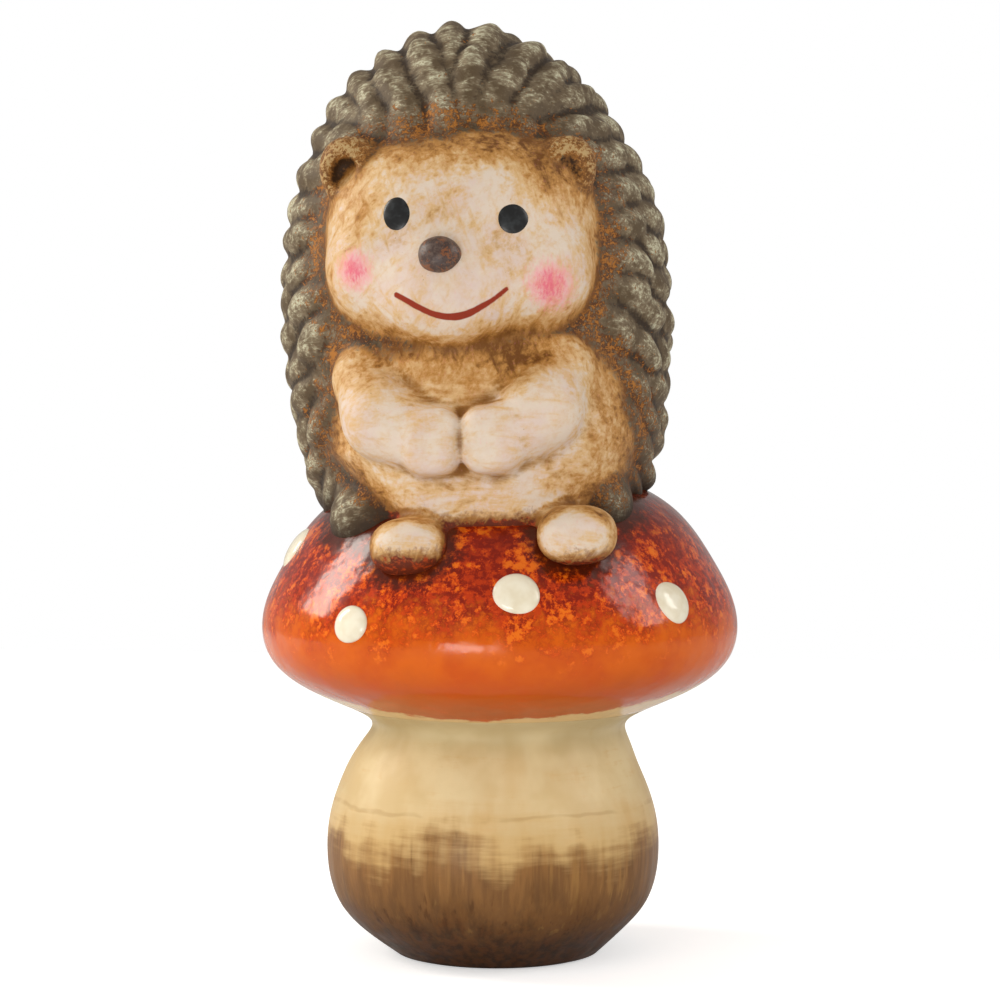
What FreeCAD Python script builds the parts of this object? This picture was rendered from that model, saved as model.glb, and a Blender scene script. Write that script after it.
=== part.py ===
"""Hedgehog sitting on a mushroom: a hollow-cast ceramic ornament in its luted pieces.

Millimetres. +Z is up, the origin is the centre of the foot, and the hedgehog looks along -Y.
Left and right are the hedgehog's own, so its left side is at +X.
The mushroom turns about the Z axis. The hedgehog is drawn upright about its own axis, then
leans a little and moves onto the mushroom by seated().
"""
import FreeCAD
import Part

import math
import os

from FreeCAD import Vector

# Casting
WALL = 4.0
AIR_HOLE_RADIUS = 1.4
OVERRUN = 1.0

# Mushroom stalk
FOOT_RADIUS = 19.0
STALK_HEIGHT = 47.3
BULGE_RADIUS = 31.7
BULGE_LEVEL = 20.5
NECK_RADIUS = 24.2
NECK_LEVEL = 43.6
FLARE_RADIUS = 28.6
POUR_HOLE_RADIUS = 9.0
SPIGOT_RADIUS = 17.0
SPIGOT_FIT = 0.15

# Mushroom cap
CAP_RIM_RADIUS = 45.3
CAP_RIM_LEVEL = 62.0
CAP_TOP_LEVEL = 93.5
CAP_SHOULDER_RADIUS = 34.4
CAP_SHOULDER_LEVEL = 84.0
SPOT_RADIUS = 4.1
SPOT_HEIGHT = 1.1

# Where the hedgehog sits
SEAT_LEVEL = 88.0
SEAT_X = -3.4
SEAT_Y = -1.0
LEAN_DEGREES = 2.0

# Quill coat: an egg of two half ellipsoids that meet at its widest level
COAT_HALF_WIDTH = 36.0
COAT_HALF_DEPTH = 34.0
COAT_FRONT_Y = -32.0
COAT_LEVEL = 123.0
COAT_RISE = 52.4
COAT_DROP = 65.0

# Moulded quill tufts, in rings that open out from a point on the brow
BROW_RISE_DEGREES = 20.0
FIRST_RING_DEGREES = 29.0
RING_STEP_DEGREES = 14.6
RING_COUNT = 11
TUFT_WIDTH = 6.0
TUFT_HEIGHT = 1.9
TUFT_GAP = 0.5
TUFT_SEAT = 0.04
TUFT_CAP_GAP = 0.6

# Head
HEAD_HALF_WIDTH = 25.6
HEAD_HALF_DEPTH = 21.5
HEAD_HALF_HEIGHT = 21.4
HEAD_X = 0.7
HEAD_Y = -16.0
HEAD_LEVEL = 134.4
MUZZLE_BULGE = 3.2
MUZZLE_DROP = 7.2
MUZZLE_SPREAD = 10.0
NOSE_X = -0.8
NOSE_HALF_WIDTH = 3.8
NOSE_HALF_HEIGHT = 3.5
NOSE_HALF_DEPTH = 3.0
NOSE_DROP = 2.0
EYES_X = 1.6
EYE_HALF_WIDTH = 2.7
EYE_HALF_HEIGHT = 3.0
EYE_RELIEF = 1.1
EYE_SPACING = 21.0
EYE_RISE = 4.7
EYE_TILT = 0.8
MOUTH_HALF_WIDTH = 10.2
MOUTH_DROP = 13.7
MOUTH_SAG = 5.2
MOUTH_LINE_RADIUS = 0.5
EARS_X = 1.1
EAR_RADIUS = 5.7
EAR_DEPTH = 4.7
EAR_RIM = 1.8
EAR_SPACING = 40.2
EAR_LEVEL = 148.5
EAR_TILT = 0.7
EAR_Y = -24.6
EAR_TURN_DEGREES = 20.0

# Trunk, arms and feet
BELLY_HALF_WIDTH = 28.0
BELLY_HALF_DEPTH = 27.0
BELLY_HALF_HEIGHT = 28.0
BELLY_X = 2.2
BELLY_Y = -8.5
BELLY_LEVEL = 97.0
BELLY_SLIM_RIGHT = 0.033
BELLY_SLIM_LEFT = 0.010
CHEST_Y = -14.0
CHEST_LEVEL = 111.5
CHEST_HALF_WIDTH = 24.0
CHEST_HALF_DEPTH = 20.0
CHEST_HALF_HEIGHT = 12.5
ARMS_X = 0.6
ARM_RADIUS = 6.6
ARM_TAPER_SHARE = 0.2
SHOULDER_SPREAD = 18.6
SHOULDER_LEVEL = 111.4
SHOULDER_Y = -25.0
ELBOW_SPREAD = 14.6
ELBOW_LEVEL = 103.6
ELBOW_Y = -31.6
WRIST_SPREAD = 7.6
WRIST_Y = -34.6
HAND_HALF_WIDTH = 5.1
HAND_HALF_DEPTH = 5.4
HAND_HALF_HEIGHT = 6.2
HAND_LEVEL = 99.2
HAND_Y = -37.0
HANDS_X = 1.5
HANDS_GAP = 0.3
FOOT_HALF_WIDTH = 7.2
FOOT_HALF_DEPTH = 7.0
FOOT_HALF_HEIGHT = 5.4
FEET_SPACING = 30.4
FEET_X = 6.2
FEET_Y = -34.0
FEET_LIFT = 2.3
FEET_TILT = 2.76

# Outlines as shares of the way in radius and in level between two named points
FOOT_TO_BULGE_SHARES = ((0.47, 0.24), (0.80, 0.47))
BULGE_TO_NECK_SHARES = ((0.10, 0.30), (0.50, 0.66), (0.86, 0.89))
UNDERSIDE_SHARES = ((0.34, 0.17), (0.64, 0.35), (0.90, 0.63))
RIM_TO_SHOULDER_SHARES = ((0.041, 0.20), (0.413, 0.60))
SHOULDER_TO_TOP_SHARES = ((0.314, 0.67), (0.645, 0.916))
# Spots: degrees round the cap from the front towards +X, the share of the dome's height,
# and their size as a share of the named radius
SPOT_TURNS = (-75, -30, 11, 53, 112, 142, 171, -152, -112)
SPOT_RISE_SHARES = (0.50, 0.13, 0.33, 0.24, 0.40, 0.18, 0.44, 0.16, 0.30)
SPOT_SIZE_SHARES = (1.12, 0.86, 1.0, 1.0, 1.0, 0.92, 1.05, 0.95, 1.0)
# Tufts: share of a ring's step that one fills, its widening, and the shift of every other ring
TUFT_REACH_SHARE = 0.97
TUFT_FLARE = 0.18
TUFT_TRIM_SHARES = (
    (0.0, 0.0),
    (0.15, 0.0),
    (0.3, 0.0),
    (0.45, 0.0),
    (0.6, 0.0),
    (0.0, 0.2),
    (0.0, 0.4),
    (0.0, 0.6),
)
TUFT_SHARES = ((1.0, 0.0), (0.97, 0.45), (0.78, 0.85), (0.42, 1.0))
TUFT_START_SHARE = 0.5
STAGGER_SHARE = 0.5
CLEARANCE_SHARE = 1.01

# Roundness of the blocks, 2 for an ellipsoid, and how finely the skins are drawn
ROUND = 2.0
HEAD_POWER = 2.5
BELLY_POWER = 2.5
HAND_POWER = 2.6
FOOT_POWER = 2.3
LIMB_POWER = 3.0
BLOB_TURNS = 16
BLOB_RINGS = 9
LIMB_RINGS = 13
MOUTH_STEPS = 8
RING_SAMPLES = 180
TUFT_CHECKS = 10
TUFT_SIDES = 10
TUFT_POWER = 2.4
SKIN_DEGREE = 3


def between(start, end, shares):
    """Points part of the way from one named point of an outline to the next."""
    return [
        (start[0] + (end[0] - start[0]) * across, start[1] + (end[1] - start[1]) * up)
        for across, up in shares
    ]


def stalk_outline():
    foot = (FOOT_RADIUS, 0.0)
    bulge = (BULGE_RADIUS, BULGE_LEVEL)
    neck = (NECK_RADIUS, NECK_LEVEL)
    flare = (FLARE_RADIUS, STALK_HEIGHT)
    points = [foot] + between(foot, bulge, FOOT_TO_BULGE_SHARES) + [bulge]
    points += between(bulge, neck, BULGE_TO_NECK_SHARES) + [neck, flare]
    return points


def cap_outline():
    edge = (FLARE_RADIUS, STALK_HEIGHT)
    rim = (CAP_RIM_RADIUS, CAP_RIM_LEVEL)
    top = (0.0, CAP_TOP_LEVEL)
    shoulder = (CAP_SHOULDER_RADIUS, CAP_SHOULDER_LEVEL)
    points = [edge] + between(edge, rim, UNDERSIDE_SHARES) + [rim]
    points += between(rim, shoulder, RIM_TO_SHOULDER_SHARES) + [shoulder]
    return points + between(shoulder, top, SHOULDER_TO_TOP_SHARES) + [top]


def inset(points, wall):
    """The outline moved inwards by the wall, square to itself."""
    moved = []
    for i in range(1, len(points) - 1):
        before, here, after = points[i - 1 : i + 2]
        run, rise = after[0] - before[0], after[1] - before[1]
        length = math.hypot(run, rise)
        moved.append((here[0] - wall * rise / length, here[1] + wall * run / length))
    return moved


def curve(points):
    spline = Part.BSplineCurve()
    spline.interpolate([Vector(r, 0, z) for r, z in points])
    return spline.toShape()


def turned(side, floor, roof):
    """Solid of revolution: a side curve, closed to the axis at the floor's and the roof's level."""
    corners = [Vector(side[0][0], 0, floor), Vector(0, 0, floor), Vector(0, 0, roof)]
    edges = [curve(side)]
    if side[-1][0] > 0:
        corners.append(Vector(side[-1][0], 0, roof))
    edges += [Part.makeLine(a, b) for a, b in zip(corners, corners[1:])]
    wire = Part.Wire(Part.__sortEdges__(edges))
    return Part.Face(wire).revolve(Vector(0, 0, 0), Vector(0, 0, 1), 360)


def level_ends(points, floor, roof):
    """The inset outline between two levels, its end points drawn to them."""
    inside = [p for p in points if floor < p[1] < roof]
    first = [(inside[0][0], floor)]
    return first + inside[1:-1] + [(inside[-1][0], roof)]


def stalk_hollow():
    floor, roof = WALL, STALK_HEIGHT - WALL
    return turned(level_ends(inset(stalk_outline(), WALL), floor, roof), floor, roof)


def cap_hollow():
    floor = STALK_HEIGHT + WALL
    inside = [p for p in inset(cap_outline(), WALL) if p[1] > floor]
    side = [(inside[0][0], floor)] + inside[1:] + [(0.0, CAP_TOP_LEVEL - WALL)]
    return turned(side, floor, CAP_TOP_LEVEL - WALL)


def air_hole(x, y, floor, roof):
    height = roof - floor + OVERRUN * 2
    return Part.makeCylinder(AIR_HOLE_RADIUS, height, Vector(x, y, floor - OVERRUN))


def mushroom_stalk():
    body = turned(stalk_outline(), 0.0, STALK_HEIGHT)
    spigot = Part.makeCylinder(SPIGOT_RADIUS, WALL, Vector(0, 0, STALK_HEIGHT))
    pour_hole = Part.makeCylinder(
        POUR_HOLE_RADIUS, WALL + OVERRUN * 2, Vector(0, 0, -OVERRUN)
    )
    vent = air_hole(0, 0, STALK_HEIGHT - WALL, STALK_HEIGHT + WALL)
    return body.fuse(spigot).cut(stalk_hollow()).cut(pour_hole).cut(vent)


def filled_cap():
    return turned(cap_outline(), STALK_HEIGHT, CAP_TOP_LEVEL)


def mushroom_cap(filled):
    socket = Part.makeCylinder(
        SPIGOT_RADIUS + SPIGOT_FIT,
        WALL + OVERRUN * 2,
        Vector(0, 0, STALK_HEIGHT - OVERRUN),
    )
    vent = air_hole(SEAT_X, SEAT_Y, CAP_TOP_LEVEL - WALL * 2, CAP_TOP_LEVEL)
    return filled.cut(cap_hollow()).cut(socket).cut(vent)


def ball(half_x, half_y, half_z):
    """Ellipsoid about the origin."""
    matrix = FreeCAD.Matrix()
    matrix.scale(half_x, half_y, half_z)
    return Part.makeSphere(1.0).transformGeometry(matrix)


def bead(half_x, half_y, half_z):
    """The same, drawn so that its two poles lie in and out along Y."""
    shape = ball(half_x, half_z, half_y)
    shape.rotate(Vector(0, 0, 0), Vector(1, 0, 0), 90)
    return shape


def bulged(value, power):
    return math.copysign(abs(value) ** (2.0 / power), value)


def closed_skin(rows, degree=SKIN_DEGREE):
    """Solid inside a smooth skin drawn by a net of guide points, each ring of them closed."""
    spans = len(rows) - degree
    ends = degree + 1
    turns = len(rows[0])
    surface = Part.BSplineSurface()
    surface.buildFromPolesMultsKnots(
        rows,
        [ends] + [1] * (spans - 1) + [ends],
        [1] * (turns + 1),
        list(range(spans + 1)),
        list(range(turns + 1)),
        False,
        True,
        degree,
        degree,
    )
    return Part.Solid(Part.Shell([surface.toShape()]))


def skin_points(power, place, turns=BLOB_TURNS, rings=BLOB_RINGS):
    """Rings of guide points round a unit rounded block, each moved by the function place."""
    rows = []
    steps = (2 * math.pi / turns, math.pi / (rings - 1))
    outside = 9 / ((2 + math.cos(steps[0])) * (2 + math.cos(steps[1])))
    for i in range(rings):
        lift = -math.pi / 2 + math.pi * i / (rings - 1)
        girth = outside * bulged(math.cos(lift), power)
        row = []
        for j in range(turns):
            turn = 2 * math.pi * j / turns
            across = bulged(math.cos(turn), power) * girth
            along = bulged(math.sin(turn), power) * girth
            row.append(place(across, along, bulged(math.sin(lift), power)))
        rows.append(row)
    return rows


def blob(centre, halves, power):
    """Rounded block: an ellipsoid at power 2, squarer above it."""
    def place(across, along, up):
        return centre + Vector(across * halves[0], along * halves[1], up * halves[2])

    return closed_skin(skin_points(power, place))


def inside_blob(point, centre, halves, power):
    """Below 1 inside a rounded block, above 1 outside it."""
    shares = [abs(point[i] - centre[i]) / halves[i] for i in range(3)]
    return sum(share ** power for share in shares) ** (1.0 / power)


def seated(shape):
    """From the hedgehog's upright drawing to its leaning place on the mushroom."""
    shape.rotate(Vector(0, 0, SEAT_LEVEL), Vector(0, 1, 0), -LEAN_DEGREES)
    shape.translate(Vector(SEAT_X, SEAT_Y, 0))
    return shape


def seated_point(point):
    lean = math.radians(LEAN_DEGREES)
    rise = point.z - SEAT_LEVEL
    x = point.x * math.cos(lean) - rise * math.sin(lean)
    z = point.x * math.sin(lean) + rise * math.cos(lean)
    return Vector(x + SEAT_X, point.y + SEAT_Y, z + SEAT_LEVEL)


def cap_spots(filled):
    """Glazed dots, each a low dome square to the cap's surface."""
    side = [p for p in cap_outline() if p[1] >= CAP_RIM_LEVEL]
    spline = Part.BSplineCurve()
    spline.interpolate([Vector(r, 0, z) for r, z in side])
    rise = CAP_TOP_LEVEL - CAP_RIM_LEVEL
    domes = []
    for turn, share, size in zip(SPOT_TURNS, SPOT_RISE_SHARES, SPOT_SIZE_SHARES):
        aim = Vector(CAP_RIM_RADIUS, 0, CAP_RIM_LEVEL + rise * share)
        where = spline.parameter(aim)
        place = spline.value(where)
        along = spline.tangent(where)[0]
        tip = math.degrees(math.atan2(along.z, -along.x))
        dome = ball(SPOT_RADIUS * size, SPOT_RADIUS * size, SPOT_HEIGHT)
        dome.rotate(Vector(0, 0, 0), Vector(0, 1, 0), tip)
        dome.translate(place)
        dome.rotate(Vector(0, 0, 0), Vector(0, 0, 1), turn - 90)
        domes.append(dome.cut(filled))
    return Part.makeCompound(domes)


def egg(inset_by):
    """Coat's egg, or its hollow when drawn in by the wall."""
    halves = []
    for rise, sign in ((COAT_RISE, 1), (COAT_DROP, -1)):
        whole = ball(
            COAT_HALF_WIDTH - inset_by, COAT_HALF_DEPTH - inset_by, rise - inset_by
        )
        box = Part.makeBox(
            COAT_HALF_WIDTH * 4,
            COAT_HALF_DEPTH * 4,
            rise * 2,
            Vector(-COAT_HALF_WIDTH * 2, -COAT_HALF_DEPTH * 2, 0),
        )
        if sign < 0:
            box.translate(Vector(0, 0, -rise * 2))
        halves.append(whole.common(box))
    joined = halves[0].fuse(halves[1])
    joined.translate(Vector(0, COAT_FRONT_Y + COAT_HALF_DEPTH, COAT_LEVEL))
    return joined


def egg_point(aim):
    """Where the way from the egg's middle along aim meets the egg, and the way out there."""
    rise = COAT_RISE if aim.z >= 0 else COAT_DROP
    halves = (COAT_HALF_WIDTH, COAT_HALF_DEPTH, rise)
    reach = 1.0 / math.sqrt(sum((aim[i] / halves[i]) ** 2 for i in range(3)))
    out = Vector(*[aim[i] * reach / halves[i] ** 2 for i in range(3)])
    return aim * reach + Vector(0, COAT_FRONT_Y + COAT_HALF_DEPTH, COAT_LEVEL), out.normalize()


def quill_coat(whole_egg, filled):
    floor = CAP_TOP_LEVEL + WALL
    hollow = egg(WALL)
    base = Part.makeBox(
        COAT_HALF_WIDTH * 4,
        COAT_HALF_DEPTH * 4,
        floor,
        Vector(-COAT_HALF_WIDTH * 2, -COAT_HALF_DEPTH * 2, 0),
    )
    shell = seated(whole_egg.cut(hollow.cut(base)))
    vent = air_hole(SEAT_X, SEAT_Y, CAP_TOP_LEVEL - WALL, floor)
    return shell.cut(filled).cut(vent)


def quill_aim(away, around):
    """Way out at an angle away from the brow and an angle around it."""
    tilt = math.radians(BROW_RISE_DEGREES)
    brow = Vector(0, -math.cos(tilt), math.sin(tilt))
    up = Vector(0, math.sin(tilt), math.cos(tilt))
    side = Vector(math.sin(around), 0, 0) + up * math.cos(around)
    return brow * math.cos(away) + side * math.sin(away)


def even_turns(away, pitch, stagger):
    """Angles around the brow that divide one ring evenly by length, and the step at each."""
    samples = [2 * math.pi * i / RING_SAMPLES for i in range(RING_SAMPLES + 1)]
    points = [egg_point(quill_aim(away, around))[0] for around in samples]
    lengths = [0.0]
    for a, b in zip(points, points[1:]):
        lengths.append(lengths[-1] + a.distanceToPoint(b))
    count = max(3, round(lengths[-1] / pitch))
    places = []
    for i in range(count):
        goal = lengths[-1] * (i + stagger) / count
        k = max(n for n in range(RING_SAMPLES) if lengths[n] <= goal)
        share = (goal - lengths[k]) / (lengths[k + 1] - lengths[k])
        step = (samples[1] / (lengths[k + 1] - lengths[k])) * lengths[-1] / count
        places.append((samples[k] + samples[1] * share, step))
    return places


def tuft(away, around, reach, spread):
    """One moulded quill tuft: a flat-cut drop that widens away from the brow."""
    middle, out = egg_point(quill_aim(away, around))
    near = egg_point(quill_aim(away - reach, around))[0]
    far = egg_point(quill_aim(away + reach, around))[0]
    one_side = egg_point(quill_aim(away, around - spread))[0]
    other_side = egg_point(quill_aim(away, around + spread))[0]
    half_width = one_side.distanceToPoint(other_side) / 2
    half_length = near.distanceToPoint(far) / 2
    across = out.cross(far - near).normalize()
    along = across.cross(out)
    rings = []
    for size_share, height_share in TUFT_SHARES:
        ring = []
        for i in range(TUFT_SIDES):
            turn = 2 * math.pi * (i + TUFT_START_SHARE) / TUFT_SIDES
            lengthwise = bulged(math.cos(turn), TUFT_POWER)
            widthwise = bulged(math.sin(turn), TUFT_POWER) * (1 + TUFT_FLARE * lengthwise)
            level = out * (TUFT_SEAT + TUFT_HEIGHT * height_share)
            reach_out = along * (half_length * size_share * lengthwise)
            ring.append(
                middle + level + reach_out + across * (half_width * size_share * widthwise)
            )
        rings.append(ring)
    return faceted(rings)


def faceted(rings):
    """Solid with flat faces between rings of points that lie in parallel planes."""
    outlines = [rings[0], rings[-1]]
    for lower, upper in zip(rings, rings[1:]):
        for i in range(len(lower)):
            j = (i + 1) % len(lower)
            outlines.append([lower[i], lower[j], upper[j], upper[i]])
    faces = [Part.Face(Part.makePolygon(outline + outline[:1])) for outline in outlines]
    return Part.Solid(Part.Shell(faces))


def neighbours():
    """Rounded blocks that the tufts keep clear of, in the hedgehog's upright drawing."""
    return [
        (head_centre(), head_halves(), HEAD_POWER),
        (belly_centre(), belly_halves(), BELLY_POWER),
        (Vector(BELLY_X, CHEST_Y, CHEST_LEVEL), chest_halves(), BELLY_POWER),
        (arm_stations(-1)[0], (ARM_RADIUS + TUFT_GAP,) * 3, ROUND),
        (arm_stations(1)[0], (ARM_RADIUS + TUFT_GAP,) * 3, ROUND),
        (ear_centre(-1), (EAR_RADIUS,) * 3, ROUND),
        (ear_centre(1), (EAR_RADIUS,) * 3, ROUND),
    ]


def cap_level(radius):
    """Level of the dome at a radius, by straight runs between the outline's points."""
    dome = [p for p in cap_outline() if p[1] >= CAP_RIM_LEVEL]
    if radius >= dome[0][0]:
        return dome[0][1]
    for outer, inner in zip(dome, dome[1:]):
        if inner[0] <= radius <= outer[0]:
            share = (outer[0] - radius) / (outer[0] - inner[0])
            return outer[1] + (inner[1] - outer[1]) * share
    return dome[-1][1]


def tuft_stands_clear(away, around, reach, spread):
    """A tuft is kept when its edge meets neither the head, the trunk, an ear nor the cap."""
    for i in range(TUFT_CHECKS + 1):
        turn = 2 * math.pi * i / TUFT_CHECKS
        along = bulged(math.cos(turn), TUFT_POWER)
        across = bulged(math.sin(turn), TUFT_POWER)
        if i == TUFT_CHECKS:
            along, across = 0.0, 0.0
        width = spread * across * (1 + TUFT_FLARE * along)
        point, out = egg_point(quill_aim(away + reach * along, around + width))
        for centre, halves, power in neighbours():
            if inside_blob(point + out * TUFT_SEAT, centre, halves, power) < CLEARANCE_SHARE:
                return False
        row_point = seated_point(point)
        radius = math.hypot(row_point.x, row_point.y)
        if row_point.z < cap_level(radius) + TUFT_CAP_GAP:
            return False
    return True


def quill_row(number):
    away = math.radians(FIRST_RING_DEGREES + RING_STEP_DEGREES * number)
    reach = math.radians(RING_STEP_DEGREES) * TUFT_REACH_SHARE / 2
    stagger = STAGGER_SHARE * (number % 2)
    tufts = []
    for around, step in even_turns(away, TUFT_WIDTH + TUFT_GAP, stagger):
        spread = step * TUFT_WIDTH / (TUFT_WIDTH + TUFT_GAP) / 2 / (1 + TUFT_FLARE / 2)
        for near, far in TUFT_TRIM_SHARES:
            middle = away + reach * (near - far)
            trimmed = reach * (1 - near - far)
            if tuft_stands_clear(middle, around, trimmed, spread):
                tufts.append(tuft(middle, around, trimmed, spread))
                break
    return tufts


def head_centre():
    return Vector(HEAD_X, HEAD_Y, HEAD_LEVEL)


def head_halves():
    return (HEAD_HALF_WIDTH, HEAD_HALF_DEPTH, HEAD_HALF_HEIGHT)


def muzzle(x, z):
    """How far the muzzle stands forward of the plain face."""
    spread = (x ** 2 + (z - (HEAD_LEVEL - MUZZLE_DROP)) ** 2) / MUZZLE_SPREAD ** 2
    return MUZZLE_BULGE * math.exp(-spread)


def head_block():
    """Face and cheeks as one rounded block with the muzzle swelling forward."""
    def place(across, along, up):
        x = HEAD_X + across * HEAD_HALF_WIDTH
        z = HEAD_LEVEL + up * HEAD_HALF_HEIGHT
        swell = muzzle(x, z) * max(0.0, -along)
        return Vector(x, HEAD_Y + along * HEAD_HALF_DEPTH - swell, z)

    return closed_skin(skin_points(HEAD_POWER, place, BLOB_TURNS * 2, BLOB_RINGS * 2 - 1))


def face_point(x, z):
    """Point of the face at a sideways place and a level."""
    shares = abs((x - HEAD_X) / HEAD_HALF_WIDTH) ** HEAD_POWER
    shares += abs((z - HEAD_LEVEL) / HEAD_HALF_HEIGHT) ** HEAD_POWER
    along = max(0.0, 1 - shares) ** (1.0 / HEAD_POWER)
    y = HEAD_Y - along * (HEAD_HALF_DEPTH + muzzle(x, z))
    return Vector(x, y, z)


def face_way(x, z):
    """Way out of the face there."""
    here = face_point(x, z)
    beside = face_point(x + OVERRUN / 2, z) - here
    above = face_point(x, z + OVERRUN / 2) - here
    return above.cross(beside).normalize()


def on_face(shape, x, z):
    """A shape drawn about the origin, looking along -Y, set square on the face."""
    turn = FreeCAD.Rotation(Vector(0, -1, 0), face_way(x, z))
    place = FreeCAD.Placement(face_point(x, z), turn)
    return shape.transformGeometry(place.toMatrix())


def mouth_crease():
    """Thin tube along the smile, half sunk in the face."""
    points = []
    for i in range(MOUTH_STEPS + 1):
        share = 2.0 * i / MOUTH_STEPS - 1
        x = NOSE_X + MOUTH_HALF_WIDTH * share
        z = HEAD_LEVEL - MOUTH_DROP + MOUTH_SAG * share ** 2
        points.append(face_point(x, z))
    spline = Part.BSplineCurve()
    spline.interpolate(points)
    start = Part.Circle(points[0], spline.tangent(0.0)[0], MOUTH_LINE_RADIUS)
    path = Part.Wire(spline.toShape())
    return path.makePipeShell([Part.Wire(start.toShape())], True, True)


def eye(side, face):
    x = EYES_X + side * EYE_SPACING / 2
    z = HEAD_LEVEL + EYE_RISE - side * EYE_TILT
    return on_face(bead(EYE_HALF_WIDTH, EYE_RELIEF, EYE_HALF_HEIGHT), x, z).cut(face)


def nose(face):
    tip = bead(NOSE_HALF_WIDTH, NOSE_HALF_DEPTH, NOSE_HALF_HEIGHT)
    return on_face(tip, NOSE_X, HEAD_LEVEL - NOSE_DROP).cut(face)


def ear_centre(side):
    return Vector(EARS_X + side * EAR_SPACING / 2, EAR_Y, EAR_LEVEL - side * EAR_TILT)


def ear(side, whole_egg, face):
    """Round cup that opens forward and a little outwards."""
    cup = bead(EAR_RADIUS, EAR_DEPTH, EAR_RADIUS)
    hollow = bead(EAR_RADIUS - EAR_RIM, EAR_DEPTH, EAR_RADIUS - EAR_RIM)
    hollow.translate(Vector(0, -EAR_RIM, -EAR_RIM / 2))
    cup = cup.cut(hollow)
    cup.rotate(Vector(0, 0, 0), Vector(0, 0, 1), side * EAR_TURN_DEGREES)
    cup.translate(ear_centre(side))
    return cup.cut(whole_egg).cut(face)


def belly_centre():
    return Vector(BELLY_X, BELLY_Y, BELLY_LEVEL)


def belly_halves():
    return (BELLY_HALF_WIDTH, BELLY_HALF_DEPTH, BELLY_HALF_HEIGHT)


def chest_halves():
    return (CHEST_HALF_WIDTH, CHEST_HALF_DEPTH, CHEST_HALF_HEIGHT)


def belly_block():
    """Rounded trunk that narrows towards its seat, more on the right than on the left."""
    def place(across, along, up):
        drop = max(0.0, -up) * BELLY_HALF_HEIGHT
        slimming = BELLY_SLIM_RIGHT if across < 0 else BELLY_SLIM_LEFT
        half_width = BELLY_HALF_WIDTH / (1 + drop * slimming)
        offset = Vector(across * half_width, along * BELLY_HALF_DEPTH, up * BELLY_HALF_HEIGHT)
        return belly_centre() + offset

    return closed_skin(skin_points(BELLY_POWER, place, BLOB_TURNS, BLOB_RINGS * 2 - 1))


def arm_stations(side):
    """Shoulder, elbow and wrist."""
    return [
        Vector(ARMS_X + side * SHOULDER_SPREAD, SHOULDER_Y, SHOULDER_LEVEL),
        Vector(ARMS_X + side * ELBOW_SPREAD, ELBOW_Y, ELBOW_LEVEL),
        Vector(ARMS_X + side * WRIST_SPREAD, WRIST_Y, HAND_LEVEL),
    ]


def limb(side):
    """Bent sausage from the shoulder by the elbow to the wrist."""
    spine = Part.BSplineCurve()
    spine.interpolate(arm_stations(side))
    first, last = spine.FirstParameter, spine.LastParameter
    rows = []
    for i in range(LIMB_RINGS):
        swing = -math.cos(math.pi * i / (LIMB_RINGS - 1))
        way = (swing + 1) / 2
        girth = max(0.0, 1 - abs(swing) ** LIMB_POWER) ** (1.0 / LIMB_POWER)
        radius = ARM_RADIUS * girth * (1 - ARM_TAPER_SHARE * way)
        where = first + (last - first) * way
        middle, along = spine.value(where), spine.tangent(where)[0]
        level = Vector(0, 0, 1).cross(along).normalize()
        lift = along.cross(level)
        row = []
        for j in range(BLOB_TURNS):
            turn = 2 * math.pi * j / BLOB_TURNS
            row.append(middle + (level * math.cos(turn) + lift * math.sin(turn)) * radius)
        rows.append(row)
    return closed_skin(rows)


def hand_block(side):
    offset = side * (HAND_HALF_WIDTH + HANDS_GAP / 2)
    centre = Vector(HANDS_X + offset, HAND_Y, HAND_LEVEL)
    return blob(centre, (HAND_HALF_WIDTH, HAND_HALF_DEPTH, HAND_HALF_HEIGHT), HAND_POWER)


def foot_block(side):
    """Foot set by the dome under its middle."""
    centre = Vector(FEET_X + side * FEET_SPACING / 2, FEET_Y, SEAT_LEVEL)
    under = seated_point(centre)
    dome = cap_level(math.hypot(under.x, under.y))
    centre.z = dome - (under.z - centre.z) + FEET_LIFT + side * FEET_TILT
    return blob(centre, (FOOT_HALF_WIDTH, FOOT_HALF_DEPTH, FOOT_HALF_HEIGHT), FOOT_POWER)


def build():
    """Every named piece in the row's frame."""
    filled = filled_cap()
    whole_egg = egg(0.0)
    pieces = {
        "mushroom_stalk": mushroom_stalk(),
        "mushroom_cap": mushroom_cap(filled),
        "cap_spots": cap_spots(filled),
        "quill_coat": quill_coat(whole_egg.copy(), filled),
    }
    rows = [quill_row(number) for number in range(RING_COUNT)]
    for number, tufts in enumerate([row for row in rows if row], start=1):
        pieces[f"quill_row_{number}"] = seated(Part.makeCompound(tufts))

    face = head_block()
    face_solid = face.cut(mouth_crease())
    pieces["head"] = seated(face_solid.cut(whole_egg))
    pieces["nose"] = seated(nose(face))
    trunk = belly_block()
    pieces["belly"] = seated(trunk.cut(whole_egg).cut(face)).cut(filled)
    for side, name in ((-1, "right"), (1, "left")):
        pieces[f"eye_{name}"] = seated(eye(side, face))
        pieces[f"ear_{name}"] = seated(ear(side, whole_egg, face))
        arm = limb(side)
        hand = hand_block(side)
        pieces[f"arm_{name}"] = seated(arm.cut(trunk).cut(whole_egg).cut(face).cut(hand))
        pieces[f"hand_{name}"] = seated(hand.cut(trunk).cut(face))
        foot = foot_block(side).cut(trunk).cut(whole_egg)
        pieces[f"foot_{name}"] = seated(foot).cut(filled)
    return pieces


def main():
    os.makedirs("parts", exist_ok=True)
    for name, shape in build().items():
        shape.exportStep(os.path.join("parts", name + ".step"))


if __name__ == "__main__":
    main()
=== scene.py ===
import math

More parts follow.
